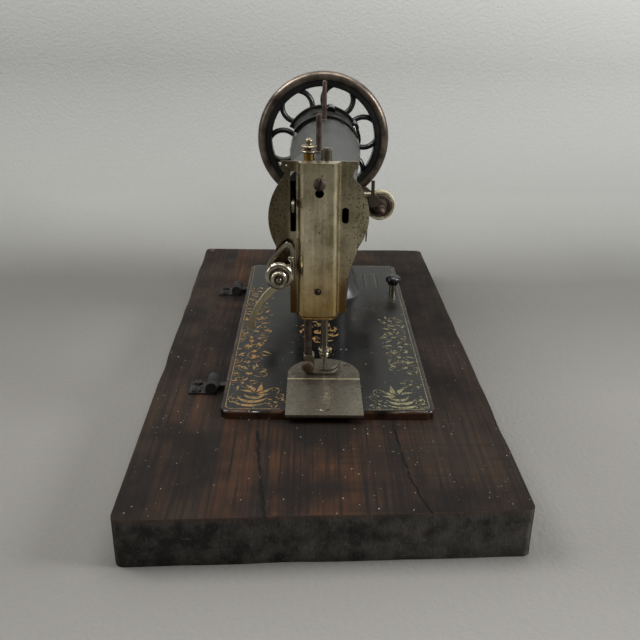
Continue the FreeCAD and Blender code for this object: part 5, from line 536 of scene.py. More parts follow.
def varnished(tree, place):
    """The plank's upper face: dark varnish, worn warm in the middle, with painted shade round the hinges,
    specks and cracks.
    """
    y = add(tree, "SeparateXYZ", place)[1]
    grain = clouds(tree, place, 3.2, 6, (0.022, 1, 1), 0.68)
    band = clouds(tree, place, 22, 4, (0.05, 1, 1))
    blotch = clouds(tree, place, 70, 5)
    saw = clouds(tree, place, 4.5, 4, (1, 0.03, 0.03), 0.6)
    specks = clouds(tree, place, 2.1, 1)
    base = coat(tree, colour("#0e0907"), colour("#2b1e13"), grain, 0.36, 0.64)
    warm = add(tree, "MapRange", away(tree, y, 0.035), 0.03, 0.13, 1, 0)
    for pattern, low, high in ((band, 0.42, 0.64), (grain, 0.36, 0.60)):
        share = add(tree, "MapRange", pattern, low, high)
        warm = add(tree, "Math", warm, share, operation="MULTIPLY")
    base = coat(tree, base, colour("#4c2b13"), warm, 0, 1, 0.75)
    base = coat(tree, base, colour("#0c0908"), blotch, 0.42, 0.62, 0.85)
    side = add(tree, "MapRange", y, -0.02, 0.04, 0.55, 0.15)
    base = coat(tree, base, colour("#0d0b0a"), saw, 0.50, 0.66, side)
    base = coat(tree, base, colour("#8f877a"), specks, 0.765, 0.785)
    # Painted shade round each hinge, where it sits in its hole.
    for hinge_x in HINGE_XS:
        hinge = tuple(at(hinge_x, HINGE_Y, PLANK_TOP))
        off_hinge = add(tree, "VectorMath", place, hinge, operation="DISTANCE")
        hinge_shade = stirred(tree, off_hinge, band, 0, 1, -0.006, 0.006)
        base = coat(tree, base, colour("#080605"), hinge_shade, 0.030, 0.014, 0.85)
    crack = crack_mask(tree, place)
    base = coat(tree, base, colour("#050403"), crack)
    ridges = add(tree, "MapRange", grain, 0, 1, 0, 0.25)
    height = add(tree, "Math", ridges, crack, operation="SUBTRACT")
    return base, add(tree, "MapRange", blotch, 0.3, 0.7, 0.55, 0.78), height, 0.9


def end_grain(tree, place):
    """The plank's sawn end: dust in the pores, saw scratches, a brown upper edge and cracks."""
    dust = clouds(tree, place, 16, 6, roughness=0.65)
    pits = clouds(tree, place, 1.8, 3, (1, 1, 0.5))
    scratch = clouds(tree, place, 1.4, 3, (1, 0.09, 1), 0.6)
    y, z = add(tree, "SeparateXYZ", place)[1:]
    paler = stirred(tree, dust, y, 0.05, -0.12, 0, 0.10)
    base = coat(tree, colour("#1a1817"), colour("#504c47"), paler, 0.40, 0.70)
    base = coat(tree, base, colour("#58534d"), pits, 0.60, 0.74, 0.5)
    base = coat(tree, base, colour("#6f6b61"), scratch, 0.66, 0.74, 0.7)
    ragged_z = stirred(tree, z, dust, 0, 1, -0.004, 0.004)
    base = coat(tree, base, colour("#4a382c"), ragged_z, 0.0345, 0.0385, 0.6)
    crack = crack_mask(tree, place)
    base = coat(tree, base, colour("#030303"), crack)
    height = add(tree, "Math", pits, crack, operation="SUBTRACT")
    return base, add(tree, "MapRange", dust, 0.3, 0.7, 0.6, 0.85), height, 0.5


board_varnish = finish_material("dark_varnished_plank", varnished, ior=1.24)
board_end = finish_material("dusty_end_grain", end_grain, ior=1.36)

# %% [markdown]
# The **plank's** CAD solid is clean and square. The real edges are rounded by knocks and its end
# is ragged. We model it again to the same size: a box pulled to the plank's four corners, cut by
# planes into a grid, opened for the works and softened with a bevel, then roughened by moving
# the edge points a little with a fixed noise.

# %% The plank
CORNERS = [(-0.2957, 0.13975), (-0.2827, -0.14875), (0.2944, -0.13975), (0.2957, 0.14875)]
BOARD_TOP = 0.039
GRID = 0.012


def bisect(point, normal):
    """Cuts the mesh that is being edited along a plane, all of it staying."""
    bpy.ops.mesh.select_all(action="SELECT")
    bpy.ops.mesh.bisect(plane_co=point, plane_no=normal)


def soften(piece, name, width, segments, angle=30):
    """Rounds each edge that turns by more than an angle, over a width in millimetres."""
    only(piece)
    bevel = piece.modifiers.new(name, "BEVEL")
    bevel.width = width / 1000
    bevel.segments = segments
    bevel.limit_method = "ANGLE"
    bevel.angle_limit = math.radians(angle)
    bpy.ops.object.modifier_apply(modifier=bevel.name)


def select_faces(piece, wanted):
    """Selects the faces whose centre and normal pass a test."""
    bpy.ops.mesh.select_all(action="DESELECT")
    bpy.ops.object.mode_set(mode="OBJECT")
    for face in piece.data.polygons:
        face.select = wanted(face.center, face.normal)
    bpy.ops.object.mode_set(mode="EDIT")
    bpy.ops.mesh.select_mode(type="FACE")


def plank():
    """A slab with four uneven corners, an opening for the works and worn edges."""
    clear_selection()
    bpy.ops.mesh.primitive_cube_add(size=1, location=(0, 0, BOARD_TOP / 2))
    piece = bpy.context.object
    corners = {(-1, 1): CORNERS[0], (-1, -1): CORNERS[1], (1, -1): CORNERS[2], (1, 1): CORNERS[3]}
    for vertex in piece.data.vertices:
        spot = corners[(1 if vertex.co.x > 0 else -1, 1 if vertex.co.y > 0 else -1)]
        vertex.co = (spot[0], spot[1], BOARD_TOP / 2 if vertex.co.z > 0 else -BOARD_TOP / 2)
    bpy.ops.object.transform_apply(location=True, rotation=True, scale=True)
    bpy.ops.object.mode_set(mode="EDIT")
    bpy.ops.mesh.select_mode(type="EDGE")
    bpy.ops.mesh.select_all(action="DESELECT")
    bpy.ops.object.mode_set(mode="OBJECT")
    for edge in piece.data.edges:
        start, end = (piece.data.vertices[v].co for v in edge.vertices)
        edge.select = (start.xy - end.xy).length < 0.001
    bpy.ops.object.mode_set(mode="EDIT")
    bpy.ops.mesh.bevel(offset=0.006, segments=4)
    low, high = at(15, -76.4, 0), at(356, 71.8, 0)
    for x in sorted([low.x, high.x] + [-0.288 + GRID * i for i in range(49)]):
        bisect((x, 0, 0), (1, 0, 0))
    for y in sorted([low.y, high.y] + [-0.144 + GRID * i for i in range(25)]):
        bisect((0, y, 0), (0, 1, 0))
    for z in (0.010, 0.020, 0.030):
        bisect((0, 0, z), (0, 0, 1))
    select_faces(piece, lambda c, n: low.x < c.x < high.x and low.y < c.y < high.y and abs(n.z) > 0.9)
    bpy.ops.mesh.delete(type="FACE")
    bpy.ops.mesh.select_all(action="DESELECT")
    bpy.ops.mesh.select_mode(type="EDGE")
    bpy.ops.mesh.select_non_manifold(extend=False)
    bpy.ops.mesh.bridge_edge_loops()
    bpy.ops.mesh.select_all(action="SELECT")
    bpy.ops.mesh.normals_make_consistent(inside=False)
    bpy.ops.object.mode_set(mode="OBJECT")
    soften(piece, "worn edges", 3.4, 4, 50)
    return piece


LEFT_SLANT, HALF_DEPTH = 0.0451, 0.1487
KNOCK_REACH, KNOCK_DEPTH, CORE_HEIGHT = 0.006, 0.0022, 0.019


def knock_edges(piece):
    """Pulls the points near the outer edges inwards by a fixed noise, as knocks and splinters do."""
    for vertex in piece.data.vertices:
        co = vertex.co
        left = co.x - CORNERS[0][0] - (CORNERS[0][1] - co.y) * LEFT_SLANT
        rim = min(left, CORNERS[3][0] - co.x, co.y + HALF_DEPTH, HALF_DEPTH - co.y)
        if rim < KNOCK_REACH and (co.z > 0.034 or co.z < 0.005 or co.x < -0.27):
            knock = max(0.0, fixed.noise(co * 22) + 0.2 * fixed.noise(co * 90))
            inward = Vector((-co.x, -co.y * 2, CORE_HEIGHT - co.z)).normalized()
            vertex.co = co + inward * knock * KNOCK_DEPTH


board = plank()
knock_edges(board)
settle(board, "worn_plank", "base", "board_wood", board_varnish, "base_board")
board.data.materials.append(board_end)
for face in board.data.polygons:
    if face.normal.x < -0.6 or face.normal.x > 0.8:
        face.material_index = 1
only(board)
bpy.ops.object.shade_smooth_by_angle(angle=math.radians(35))

# %% [markdown]
# The CAD pieces come as loose triangles, which shade as flat facets. For the turned and cast
# pieces we take a merged copy, smooth it wherever its faces meet at a soft angle, and let it
# stand for the node. Its shape is the same, so everything still fits.

# %% Smooth copies of the CAD pieces
def smooth(piece, angle):
    """Shades soft angles smooth, with large flats kept flat by weighting each corner by area."""
    only(piece)
    bpy.ops.object.shade_smooth_by_angle(angle=math.radians(angle))
    weighted = piece.modifiers.new("flat faces stay flat", "WEIGHTED_NORMAL")
    weighted.keep_sharp = True
    weighted.weight = 90
    bpy.ops.object.modifier_apply(modifier=weighted.name)


def smooth_copy(node, body, slot, material, angle=32):
    """A merged and smooth copy of a CAD node, standing for it."""
    clear_selection()
    source = frame["nodes"][node]
    piece = source.copy()
    piece.data = source.data.copy()
    piece.parent = None
    for key in list(piece.keys()):
        del piece[key]
    bpy.context.scene.collection.objects.link(piece)
    only(piece)
    bpy.ops.object.mode_set(mode="EDIT")
    bpy.ops.mesh.select_all(action="SELECT")
    bpy.ops.mesh.remove_doubles(threshold=0.000005)
    bpy.ops.mesh.dissolve_limited(angle_limit=math.radians(0.4), delimit={"NORMAL"})
    bpy.ops.object.mode_set(mode="OBJECT")
    settle(piece, f"{node}_dressed", body, slot, material, node)
    smooth(piece, angle)
    return piece


# %% [markdown]
# Two ways of making a piece come up again and again. A sheet-metal piece starts as an outline,
# filled and pushed back to its thickness. A lathe piece starts as half a profile, spun round its
# axis. A boolean then joins a solid to another, or cuts one out of another.

# %% Sheet, lathe and boolean
def sheet_piece(points, front, depth):
    """A flat solid from an outline of (y, z), its front face at x = front, all in millimetres."""
    clear_selection()
    bpy.ops.mesh.primitive_circle_add(vertices=len(points), fill_type="NGON")
    piece = bpy.context.object
    for vertex, (y, z) in zip(piece.data.vertices, points):
        vertex.co = at(front, y, z)
    bpy.ops.object.mode_set(mode="EDIT")
    bpy.ops.mesh.select_all(action="SELECT")
    bpy.ops.mesh.extrude_region_move(TRANSFORM_OT_translate={"value": (depth / 1000, 0, 0)})
    bpy.ops.mesh.select_all(action="SELECT")
    bpy.ops.mesh.normals_make_consistent(inside=False)
    bpy.ops.object.mode_set(mode="OBJECT")
    return piece


def lathe_piece(centre, axis, profile, steps=64):
    """Spins a closed profile of (radius, distance along the axis), in millimetres, about an axis."""
    clear_selection()
    bpy.ops.mesh.primitive_circle_add(vertices=len(profile), fill_type="NOTHING")
    piece = bpy.context.object
    along = {"x": Vector((1, 0, 0)), "y": Vector((0, 1, 0)), "z": Vector((0, 0, 1))}[axis]
    across = Vector((0, 0, 1)) if axis != "z" else Vector((1, 0, 0))
    for vertex, (radius, far) in zip(piece.data.vertices, profile):
        vertex.co = centre + across * radius / 1000 + along * far / 1000
    bpy.ops.object.mode_set(mode="EDIT")
    bpy.ops.mesh.select_all(action="SELECT")
    bpy.ops.mesh.spin(steps=steps, angle=math.tau, center=centre, axis=along)
    bpy.ops.mesh.select_all(action="SELECT")
    bpy.ops.mesh.remove_doubles(threshold=0.000005)
    bpy.ops.mesh.delete_loose(use_verts=True, use_edges=True, use_faces=False)
    bpy.ops.mesh.select_all(action="SELECT")
    bpy.ops.mesh.normals_make_consistent(inside=False)
    bpy.ops.object.mode_set(mode="OBJECT")
    return piece


def combine(piece, other, how):
    """Joins, or cuts, one solid with another."""
    only(piece)
    step = piece.modifiers.new(how.lower(), "BOOLEAN")
    step.operation = how
    step.object = other
    bpy.ops.object.modifier_apply(modifier=step.name)
    bpy.data.objects.remove(other, do_unlink=True)


def join(first, *others):
    """Makes one mesh of several pieces."""
    only(first)
    for other in others:
        other.select_set(True)
    bpy.ops.object.join()
    return first


def arc_points(start, through, end, count=8):
    """Points along the circle through three places, with the first place left out."""
    (ax, ay), (bx, by), (cx, cy) = start, through, end
    d = 2 * (ax * (by - cy) + bx * (cy - ay) + cx * (ay - by))
    a2, b2, c2 = ax * ax + ay * ay, bx * bx + by * by, cx * cx + cy * cy
    ux = (a2 * (by - cy) + b2 * (cy - ay) + c2 * (ay - by)) / d
    uy = (a2 * (cx - bx) + b2 * (ax - cx) + c2 * (bx - ax)) / d
    radius = math.hypot(ax - ux, ay - uy)
    first, middle, last = (math.atan2(y - uy, x - ux) for x, y in (start, through, end))
    turn = (last - first) % math.tau
    if (middle - first) % math.tau > turn:
        turn -= math.tau
    angles = [first + turn * i / count for i in range(1, count + 1)]
    return [(ux + radius * math.cos(a), uy + radius * math.sin(a)) for a in angles]


def rounded_box(y, z, half_y, half_z, radius, count=6):
    """The outline of a rectangle with round corners, as (y, z)."""
    points = []
    for corner, (sy, sz) in enumerate(((1, 1), (-1, 1), (-1, -1), (1, -1))):
        for i in range(count + 1):
            angle = math.pi / 2 * (corner + i / count)
            points.append((
                y + sy * (half_y - radius) + radius * math.cos(angle),
                z + sz * (half_z - radius) + radius * math.sin(angle),
            ))
    return points


# %% [markdown]
# The **face plate** was pressed from nickelled sheet over a former, which is why the raised
# channel in front of the bars meets the flat in a soft cove and turns over in an easy bend, with
# no sharp fold. We inset the channel's face again and again, and let each ring rise by the amount
# that a quarter of an ellipse gives. The slots were punched afterwards, so they keep their edges.

# %% The face plate
FLANGE_FRONT = 49.5
TENSION_AXIS = (37.6, 106)


def flange_outline():
    """The flat sheet's outline of (y, z), from its foot round the back to its foot again."""
    points = [(-17.3, 67), (29.3, 67), (29.3, 92), (44, 99), (44, 113), (40.5, 125)]
    points += arc_points((40.5, 125), (46.4, 155), (34.3, 182), 14)
    points += arc_points((34.3, 182), (33.6, 185.5), (37.4, 189.5), 6)
    points += [(37.4, 191.3), (35.6, 192.4), (36.6, 195), (-24.6, 195), (-24.6, 189.5)]
    points += arc_points((-24.6, 189.5), (-21, 185.5), (-21.2, 182), 6)
    points += arc_points((-21.2, 182), (-34.2, 155), (-26.6, 125), 14)
    return points + [(-19.5, 104), (-17.3, 92)]


def channel_piece():
    """The raised channel, from its foot in the flange to its face."""
    cove, bend, foot_rise, height = 1.8, 5.5, 2.0, 10.0
    outline = rounded_box(FACE_MIDDLE, 137.75, 16.1 + cove, 75.55 + cove, 6 + cove, 7)
    piece = sheet_piece(outline, FLANGE_FRONT, 0.5)
    only(piece)
    bpy.ops.object.mode_set(mode="EDIT")
    select_faces(piece, lambda c, n: n.x < -0.9)
    done = (0.0, 0.0)
    steps = [(cove * t, foot_rise * (1 - math.sqrt(1 - t * t))) for t in (0.35, 0.6, 0.8, 0.92, 1)]
    for t in (0.03, 0.1, 0.2, 0.34, 0.5, 0.68, 0.84, 1):
        steps.append((cove + bend * t, foot_rise + (height - foot_rise) * math.sqrt(1 - (1 - t) ** 2)))
    for reach, rise in steps:
        bpy.ops.mesh.inset(thickness=(reach - done[0]) / 1000, depth=(rise - done[1]) / 1000)
        done = (reach, rise)
    bpy.ops.mesh.select_all(action="SELECT")
    bpy.ops.mesh.bisect(plane_co=at(0, 0, 194.98), plane_no=(0, 0, 1), use_fill=True, clear_outer=True)
    bpy.ops.object.mode_set(mode="OBJECT")
    return piece


def punch(piece, outline, front=38, depth=16):
    """Cuts an outline of (y, z) through a sheet."""
    combine(piece, sheet_piece(outline, front, depth), "DIFFERENCE")


def face_plate():
    """The flange and its hollow channel, with the slots and holes punched through."""
    piece = sheet_piece(flange_outline(), FLANGE_FRONT, 1.5)
    soften(piece, "filed edge", 0.3, 2, 60)
    combine(piece, channel_piece(), "UNION")
    punch(piece, rounded_box(FACE_MIDDLE, 127.75, 12.1, 61.5, 3), 41.3, 12)
    punch(piece, rounded_box(FACE_MIDDLE, 127.75, 14.4, 63.9, 3), 45, 9)
    punch(piece, rounded_box(26.6, 162.5, 2.35, 24.5, 1.6))
    punch(piece, rounded_box(-15.2, 151.5, 2.8, 6.5, 2.7))
    for y, z, radius in ((5.8, 171.6, 3.6), (5.8, 178.8, 2.2), (6.4, 89.7, 3.0), (*TENSION_AXIS, 4.2)):
        punch(piece, rounded_box(y, z, radius, radius, radius))
    for y, z in ((32, 191.5), (4, 185.5), (5.5, 140)):
        punch(piece, rounded_box(y, z, 0.7, 0.7, 0.7, 3))
    return piece


plate = face_plate()
settle(plate, "pressed_face_plate", "head", "nickel", face_nickel, "face_plate")
smooth(plate, 38)

# %% [markdown]
# The **handwheel** is cast iron. The rim is turned round and smooth for the hand; inside it runs
# a thin band, and six ring loops tie the band to the hub. Cast rings have an oval section, so each
# is a torus made broader along the axle. One is modelled, and the other five are turned copies.

# %% The handwheel
LOOPS, FIRST_LOOP, LOOP_REACH = 6, -9.5, 0.0485


def ring_loop():
    """One ring at the origin, its hole along x, its section an oval that is broader along x."""
    clear_selection()
    hole, band, thick = 14.6, 6.4, 8.6
    bpy.ops.mesh.primitive_torus_add(
        major_segments=48,
        minor_segments=12,
        major_radius=(hole + band / 2) / 1000,
        minor_radius=band / 2000,
        rotation=(0, math.pi / 2, 0),
    )
    loop = bpy.context.object
    bpy.ops.object.transform_apply(location=True, rotation=True, scale=True)
    bpy.ops.object.mode_set(mode="EDIT")
    bpy.ops.mesh.select_all(action="SELECT")
    bpy.ops.transform.resize(value=(thick / band, 1, 1), center_override=(0, 0, 0))
    bpy.ops.object.mode_set(mode="OBJECT")
    return loop


def handwheel():
    """The rim, the band inside it, the hub and six ring loops, as one casting."""
    rim = lathe_piece(WHEEL_AXIS, "x", [
        (66.9, -5.5), (67.4, -7), (68.8, -7.8), (71, -8), (73.6, -7.7), (75.7, -6.7), (77.1, -5),
        (77.8, -2.6), (77.9, 0), (77.8, 2.6), (77.1, 5), (75.7, 6.7), (73.6, 7.7), (71, 8),
        (68.8, 7.8), (67.4, 7), (66.9, 5.5),
    ], 128)
    band = lathe_piece(WHEEL_AXIS, "x", [
        (68, -7), (62.4, -7), (61.3, -6.4), (60.9, -5), (60.9, 5), (61.3, 6.4), (62.4, 7), (68, 7),
    ], 96)
    hub = lathe_piece(at(363, *AXLE), "x", [
        (7.5, 0), (29.9, 0), (30.5, 0.6), (30.5, 2.5), (25.5, 7.5), (30.5, 12.5), (30.5, 27),
        (29.6, 28.6), (17, 32.7), (16, 33), (7.5, 33),
    ], 64)
    first = ring_loop()
    loops = []
    for number in range(LOOPS):
        angle = math.radians(FIRST_LOOP + 360 / LOOPS * number)
        loop = first.copy()
        loop.data = first.data.copy()
        loop.location = WHEEL_AXIS + Vector((0, math.cos(angle), math.sin(angle))) * LOOP_REACH
        bpy.context.scene.collection.objects.link(loop)
        loops.append(loop)
    bpy.data.objects.remove(first, do_unlink=True)
    return join(rim, band, hub, *loops)


wheel = handwheel()
settle(wheel, "cast_handwheel", "drive", "wheel_paint", wheel_paint, "handwheel")
smooth(wheel, 40)

# %% [markdown]
# The **small turned parts** catch the light, so their edges matter more than their bulk. A screw
# head is domed on the lathe, and a thin block then saws the slot across it at the angle where
# the last hand left it.

# %% The face plate's screws
def slot_cutter(y, z, angle, width, front, depth):
    """A thin block that lies across a screw head, turned by an angle."""
    turn = math.radians(angle)
    points = []
    for along, across in ((-9, -width / 2), (9, -width / 2), (9, width / 2), (-9, width / 2)):
        points.append((
            y + along * math.cos(turn) - across * math.sin(turn),
            z + along * math.sin(turn) + across * math.cos(turn),
        ))
    return sheet_piece(points, front, depth)


def domed_screw(y, z, radius, front, height, angle, slot):
    """A screw head that faces the needle end, with its slot turned by an angle."""
    dome = height * 0.7
    crown = [(radius * math.sin(a), dome * (1 - math.cos(a))) for a in (0.3, 0.6, 0.9, 1.2, 1.45)]
    profile = [(0, 0), *crown, (radius, height * 0.75), (radius, height), (0, height)]
    head = lathe_piece(at(front, y, z), "x", profile, 32)
    combine(head, slot_cutter(y, z, angle, slot, front - 1, 1 + height * 0.5), "DIFFERENCE")
    return head


screws = join(
    domed_screw(5.8, 178.8, radius=5.0, front=36.5, height=3.0, angle=104, slot=1.5),
    domed_screw(6.4, 89.7, radius=2.3, front=39.0, height=2.0, angle=35, slot=0.8),
)
settle(screws, "slotted_face_screws", "head", "rusty_steel", rusty, "face_plate_screws")
smooth(screws, 35)

# %% [markdown]
# The **tension** pinches the thread between two dished discs, and a thumb nut with two rolled
# rims presses on them. All of it is turned about one axis, which the face plate's hole shares.

# %% The tension's discs and nut
discs = join(
    lathe_piece(at(0, *TENSION_AXIS), "x", [
        (3.7, 31.5), (10.5, 31.5), (11.1, 31.1), (11.2, 30.5), (10.8, 29.6), (9.8, 29.0), (8.6, 28.8),
        (7.4, 29.2), (6.8, 30.0), (3.7, 30.3),
    ]),
    lathe_piece(at(0, *TENSION_AXIS), "x", [
        (3.7, 31.8), (9.2, 31.8), (11.2, 31.6), (11.4, 32.0), (9.4, 32.8), (3.7, 32.8),
    ]),
)
settle(discs, "dished_tension_discs", "head", "nickel", bright_nickel, "tension_discs")
smooth(discs, 40)

nut = lathe_piece(at(0, *TENSION_AXIS), "x", [
    (3.75, 27), (5.5, 27), (6.1, 26.7), (6.4, 26.1), (6.4, 25.3), (6.0, 24.9), (6.0, 24.4), (6.4, 24.0),
    (6.4, 23.0), (6.0, 22.3), (5.3, 22.0), (4.6, 22.2), (4.3, 22.9), (3.75, 23.0),
])
settle(nut, "rolled_tension_nut", "tension", "nickel", bright_nickel, "tension_nut")
smooth(nut, 40)

# %% [markdown]
# The **presser** pushes the cloth down. Above the arm its pressure screw carries two rolled discs
# and a ball; below, a domed screw clamps the foot to the bar. The foot is a runner that curves up
# at both ends, as a sled's does, so we draw its lower line and thicken it upwards.

# %% The pressure screw and the presser foot
PRESSER_BAR = (72, 14.5)
pressure = lathe_piece(at(*PRESSER_BAR, 0), "z", [
    (3.5, 176), (4.5, 176), (4.6, 196.4), (4.9, 197.2), (5.9, 197.5), (6.3, 198.1), (6.3, 198.7),
    (5.8, 199.3), (4.4, 199.6), (3.9, 200.3), (4.4, 201.0), (5.9, 201.3), (6.4, 201.9), (6.4, 202.7),
    (5.8, 203.3), (3.6, 203.6), (2.5, 204.0), (2.3, 204.6), (2.9, 205.3), (3.3, 206.2), (3.2, 207.3),
    (2.5, 208.3), (1.4, 208.9), (0, 209), (0, 203), (3.5, 203),
])
settle(pressure, "turned_pressure_screw", "pressure", "worn_brass", brass_to_nickel, "pressure_screw")
smooth(pressure, 40)

foot_bolt = lathe_piece(at(0, PRESSER_BAR[1], 9.5), "x", [
    (0, 60.6), (2.6, 60.7), (4.4, 61.2), (5.3, 62.2), (5.5, 63.4), (5.5, 65.4), (5.0, 66.2), (2.0, 66.4),
    (2.0, 72), (0, 72),
], 40)
settle(foot_bolt, "domed_foot_screw", "presser", "rusty_steel", rust_brown, "foot_screw")
smooth(foot_bolt, 40)


def runner_foot():
    """The presser foot: a sled runner, turned up at heel and toe, with a slot for the needle."""
    lower = [
        (15, 4.6), (12, 2.6), (8, 1.5), (3, 1.1), (-4, 1.1), (-8, 1.6), (-11, 3.2), (-13.2, 5.6),
        (-14.4, 8.2),
    ]
    upper = [(y + 0.4 * (i > 4), z + 1.7 - 0.08 * i) for i, (y, z) in enumerate(lower)]
    foot = sheet_piece(lower + upper[::-1], 65, 12.4)
    combine(foot, sheet_piece(rounded_box(13.6, 10.9, 4.8, 8.1, 2.2), 66.4, 10.6), "UNION")
    punch(foot, [(-20, -2), (4, -2), (4, 12), (-20, 12)], 69.6, 2.8)
    bar_hole = lathe_piece(at(*PRESSER_BAR, 0), "z", [(0, 8), (3.6, 8), (3.6, 22), (0, 22)], 32)
    combine(foot, bar_hole, "DIFFERENCE")
    return foot


foot = runner_foot()
settle(foot, "runner_presser_foot", "presser", "nickel", nickel, "presser_foot")
smooth(foot, 35)

# %% [markdown]
# The **needle clamp**, the knob on the bed and the two spool pins finish the turned parts. The
# pins are slim rods with one rolled ring near the foot and a rounded tip, and differ only in
# place and height, so one profile makes both.

# %% The clamp, the knob and the spool pins
clamp = lathe_piece(at(71, 0, 0), "z", [
    (1.15, 14), (1.9, 14.2), (2.2, 16), (3.6, 16.6), (4.6, 17.6), (4.7, 20.2), (4.0, 21), (4.0, 21.8),
    (5.3, 22.2), (5.6, 23), (5.3, 24), (3.9, 24.4), (3.7, 27), (3.25, 27), (3.25, 22), (1.15, 21),
])
settle(clamp, "turned_needle_clamp", "needle_drive", "nickel", bright_nickel, "needle_clamp")
smooth(clamp, 40)

cap = lathe_piece(at(272.2, -80, 0), "z", [
    (0, 11), (4.6, 11), (5.4, 11.4), (5.9, 13.2), (6.9, 14.4), (8.0, 15.2), (8.3, 16.2), (8.3, 18.2),
    (7.8, 19.6), (6.4, 20.8), (3.4, 21.4), (0, 21.5),
], 48)
settle(cap, "turned_bed_knob", "knob", "black_knob", knob_black, "bed_knob")
smooth(cap, 40)

PIN_FOOT = 183.9
SPOOL_PINS = {"front_spool_pin": (100, 6.2, 224.5), "rear_spool_pin": (275, -0.5, 232.6)}
for node, (x, y, top) in SPOOL_PINS.items():
    pin = lathe_piece(at(x, y, 0), "z", [
        (0, PIN_FOOT), (2.5, PIN_FOOT), (2.5, 191.4), (3.3, 191.6), (3.5, 192.3), (3.2, 193.2),
        (2.5, 193.6), (2.35, top - 2.2), (2.1, top - 1.1), (1.3, top - 0.3), (0, top),
    ], 32)
    settle(pin, f"slim_{node}", "head", "rusty_steel", rusty, node)
    smooth(pin, 40)

# %% [markdown]
# The **thread guard** behind the tension is a narrow strip folded on itself: its outline is cut
# from sheet, and the middle is cut away so that two legs are left.

# %% The thread guard
bracket = sheet_piece([
    (26.2, 97.6), (34, 97.5), (44, 99.5), (47.9, 108), (47.4, 113), (35.5, 128.6), (31.6, 131.1),
    (27.4, 129.4), (25.7, 124),
], 43.5, 1.4)
punch(bracket, [(29.2, 112), (43.2, 113.4), (33.6, 125.6), (30.4, 126.6), (29.0, 123)], 40, 8)
punch(bracket, rounded_box(*TENSION_AXIS, 4.1, 4.1, 4.1), 40, 8)
soften(bracket, "rolled edge", 0.5, 2)
settle(bracket, "folded_thread_guard", "head", "nickel", bright_nickel, "thread_bracket")
smooth(bracket, 40)

# %% [markdown]
# The **belt guard** is a rough casting that hugs the end of the arm. It is thick over the top,
# where two openings lighten it, and thins to a blunt horn at the sewer's side. A thin saddle
# runs from it along the top of the arm, with oil and screw holes drilled down through it.

# %% The belt guard
GUARD_RADIUS = 43.6


def on_ring(angle, radius):
    """A place (y, z) at an angle up from the back, round the wheel's axis."""
    turn = math.radians(angle)
    return (AXLE[0] + radius * math.cos(turn), AXLE[1] + radius * math.sin(turn))


def guard_casting():
    """The guard and its saddle, with holes drilled down and openings through, edges cast soft."""
    outer = []
    for angle in range(26, 190, 3):
        taper = (angle - 172) * 0.14 if angle >= 172 else 0
        outer.append(on_ring(angle, GUARD_RADIUS - taper))
    levels = ((26, 37), (34, 31), (60, 28), (130, 28), (146, 33), (160, 37.5), (176, 39.2), (189, 40.6))
    inner = []
    for (first, low), (last, high) in zip(levels, levels[1:]):
        steps = (last - first) // 4
        for i in range(steps):
            inner.append(on_ring(first + (last - first) * i / steps, low + (high - low) * i / steps))
    piece = sheet_piece(outer + inner[::-1], 353.4, 7.4)
    low, high = 36, 160
    saddle = [on_ring(a, 40.6) for a in range(low, high, 4)]
    saddle += [on_ring(a, 37.8) for a in range(high - 4, low - 1, -4)]
    combine(piece, sheet_piece(saddle, 296, 59), "UNION")
    for x, y, radius in ((318, 9, 4.4), (322, -15, 4.8), (340, 20, 3.0), (338, -2, 2.4)):
        hole = lathe_piece(at(x, y, 0), "z", [(0, 180), (radius, 180), (radius, 200), (0, 200)], 28)
        combine(piece, hole, "DIFFERENCE")
    for angle, radius, half_y, half_z in ((74, 33.2, 4.2, 3.2), (119, 33.2, 5.0, 3.4), (37, 36.4, 2.6, 2.0)):
        y, z = on_ring(angle, radius)
        punch(piece, rounded_box(y, z, half_y, half_z, half_z * 0.95), 350, 14)
    soften(piece, "cast edges", 1.1, 3, 45)
    return piece


guard = guard_casting()
settle(guard, "cast_belt_guard", "head", "black_japan", guard_japan, "belt_guard")
smooth(guard, 40)

# %% [markdown]
# The **bobbin winder** sits low beside the handwheel, and a rubber tyre on its wheel rubs on the
# handwheel's rim. The tyre has hardened and split, so we set its ring of points a little out of
# true with a fixed noise.

# %% The winder's tyre
WINDER_AXIS = (-71.8, 73.3)


def age_rubber(piece):
    """Moves each point by up to half a millimetre, as hardened rubber creeps and splits."""
    for vertex in piece.data.vertices:
        vertex.co += Vector((0.6, 1, 1)) * 0.0005 * fixed.noise(vertex.co * 260)


tyre = lathe_piece(at(0, *WINDER_AXIS), "x", [
    (14.8, 384.2), (15.5, 383.2), (16.4, 383.9), (17.1, 383), (17.9, 383.2), (18.5, 384.4), (18.7, 386),
    (18.7, 389.4), (18.4, 391), (17.8, 391.9), (14.8, 391.8),
], 72)
age_rubber(tyre)
settle(tyre, "split_rubber_tyre", "winder_wheel", "old_rubber", rubber, "winder_tyre")
smooth(tyre, 40)

# %% [markdown]
# The winder's **spindle** and its ribbed wheel are one turned steel piece, and a thin wire hangs
# from its bracket. The wire is a circle that is pulled from point to point.

# %% The winder's spindle and wire
spindle = lathe_piece(at(0, *WINDER_AXIS), "x", [
    (0, 352), (1.8, 352.3), (3.2, 353.4), (3.8, 355.2), (3.3, 357.2), (2.4, 358.3), (2.4, 362),
    (4.6, 362.5), (5.2, 363.6), (5.2, 367.6), (2.9, 368.2), (2.9, 376.6), (7.2, 376.8), (7.6, 380),
    (8.6, 382.6), (9.3, 383.2), (9.9, 382.2), (10.6, 383.2), (11.3, 382.2), (12.0, 383.2),
    (12.7, 382.4), (13.6, 383.4), (14.6, 384.4), (14.6, 391.4), (3, 391.4), (3, 395), (0, 395),
], 56)
settle(spindle, "ribbed_winder_spindle", "winder_wheel", "bright_steel", ribbed, "winder_spindle")
smooth(spindle, 40)


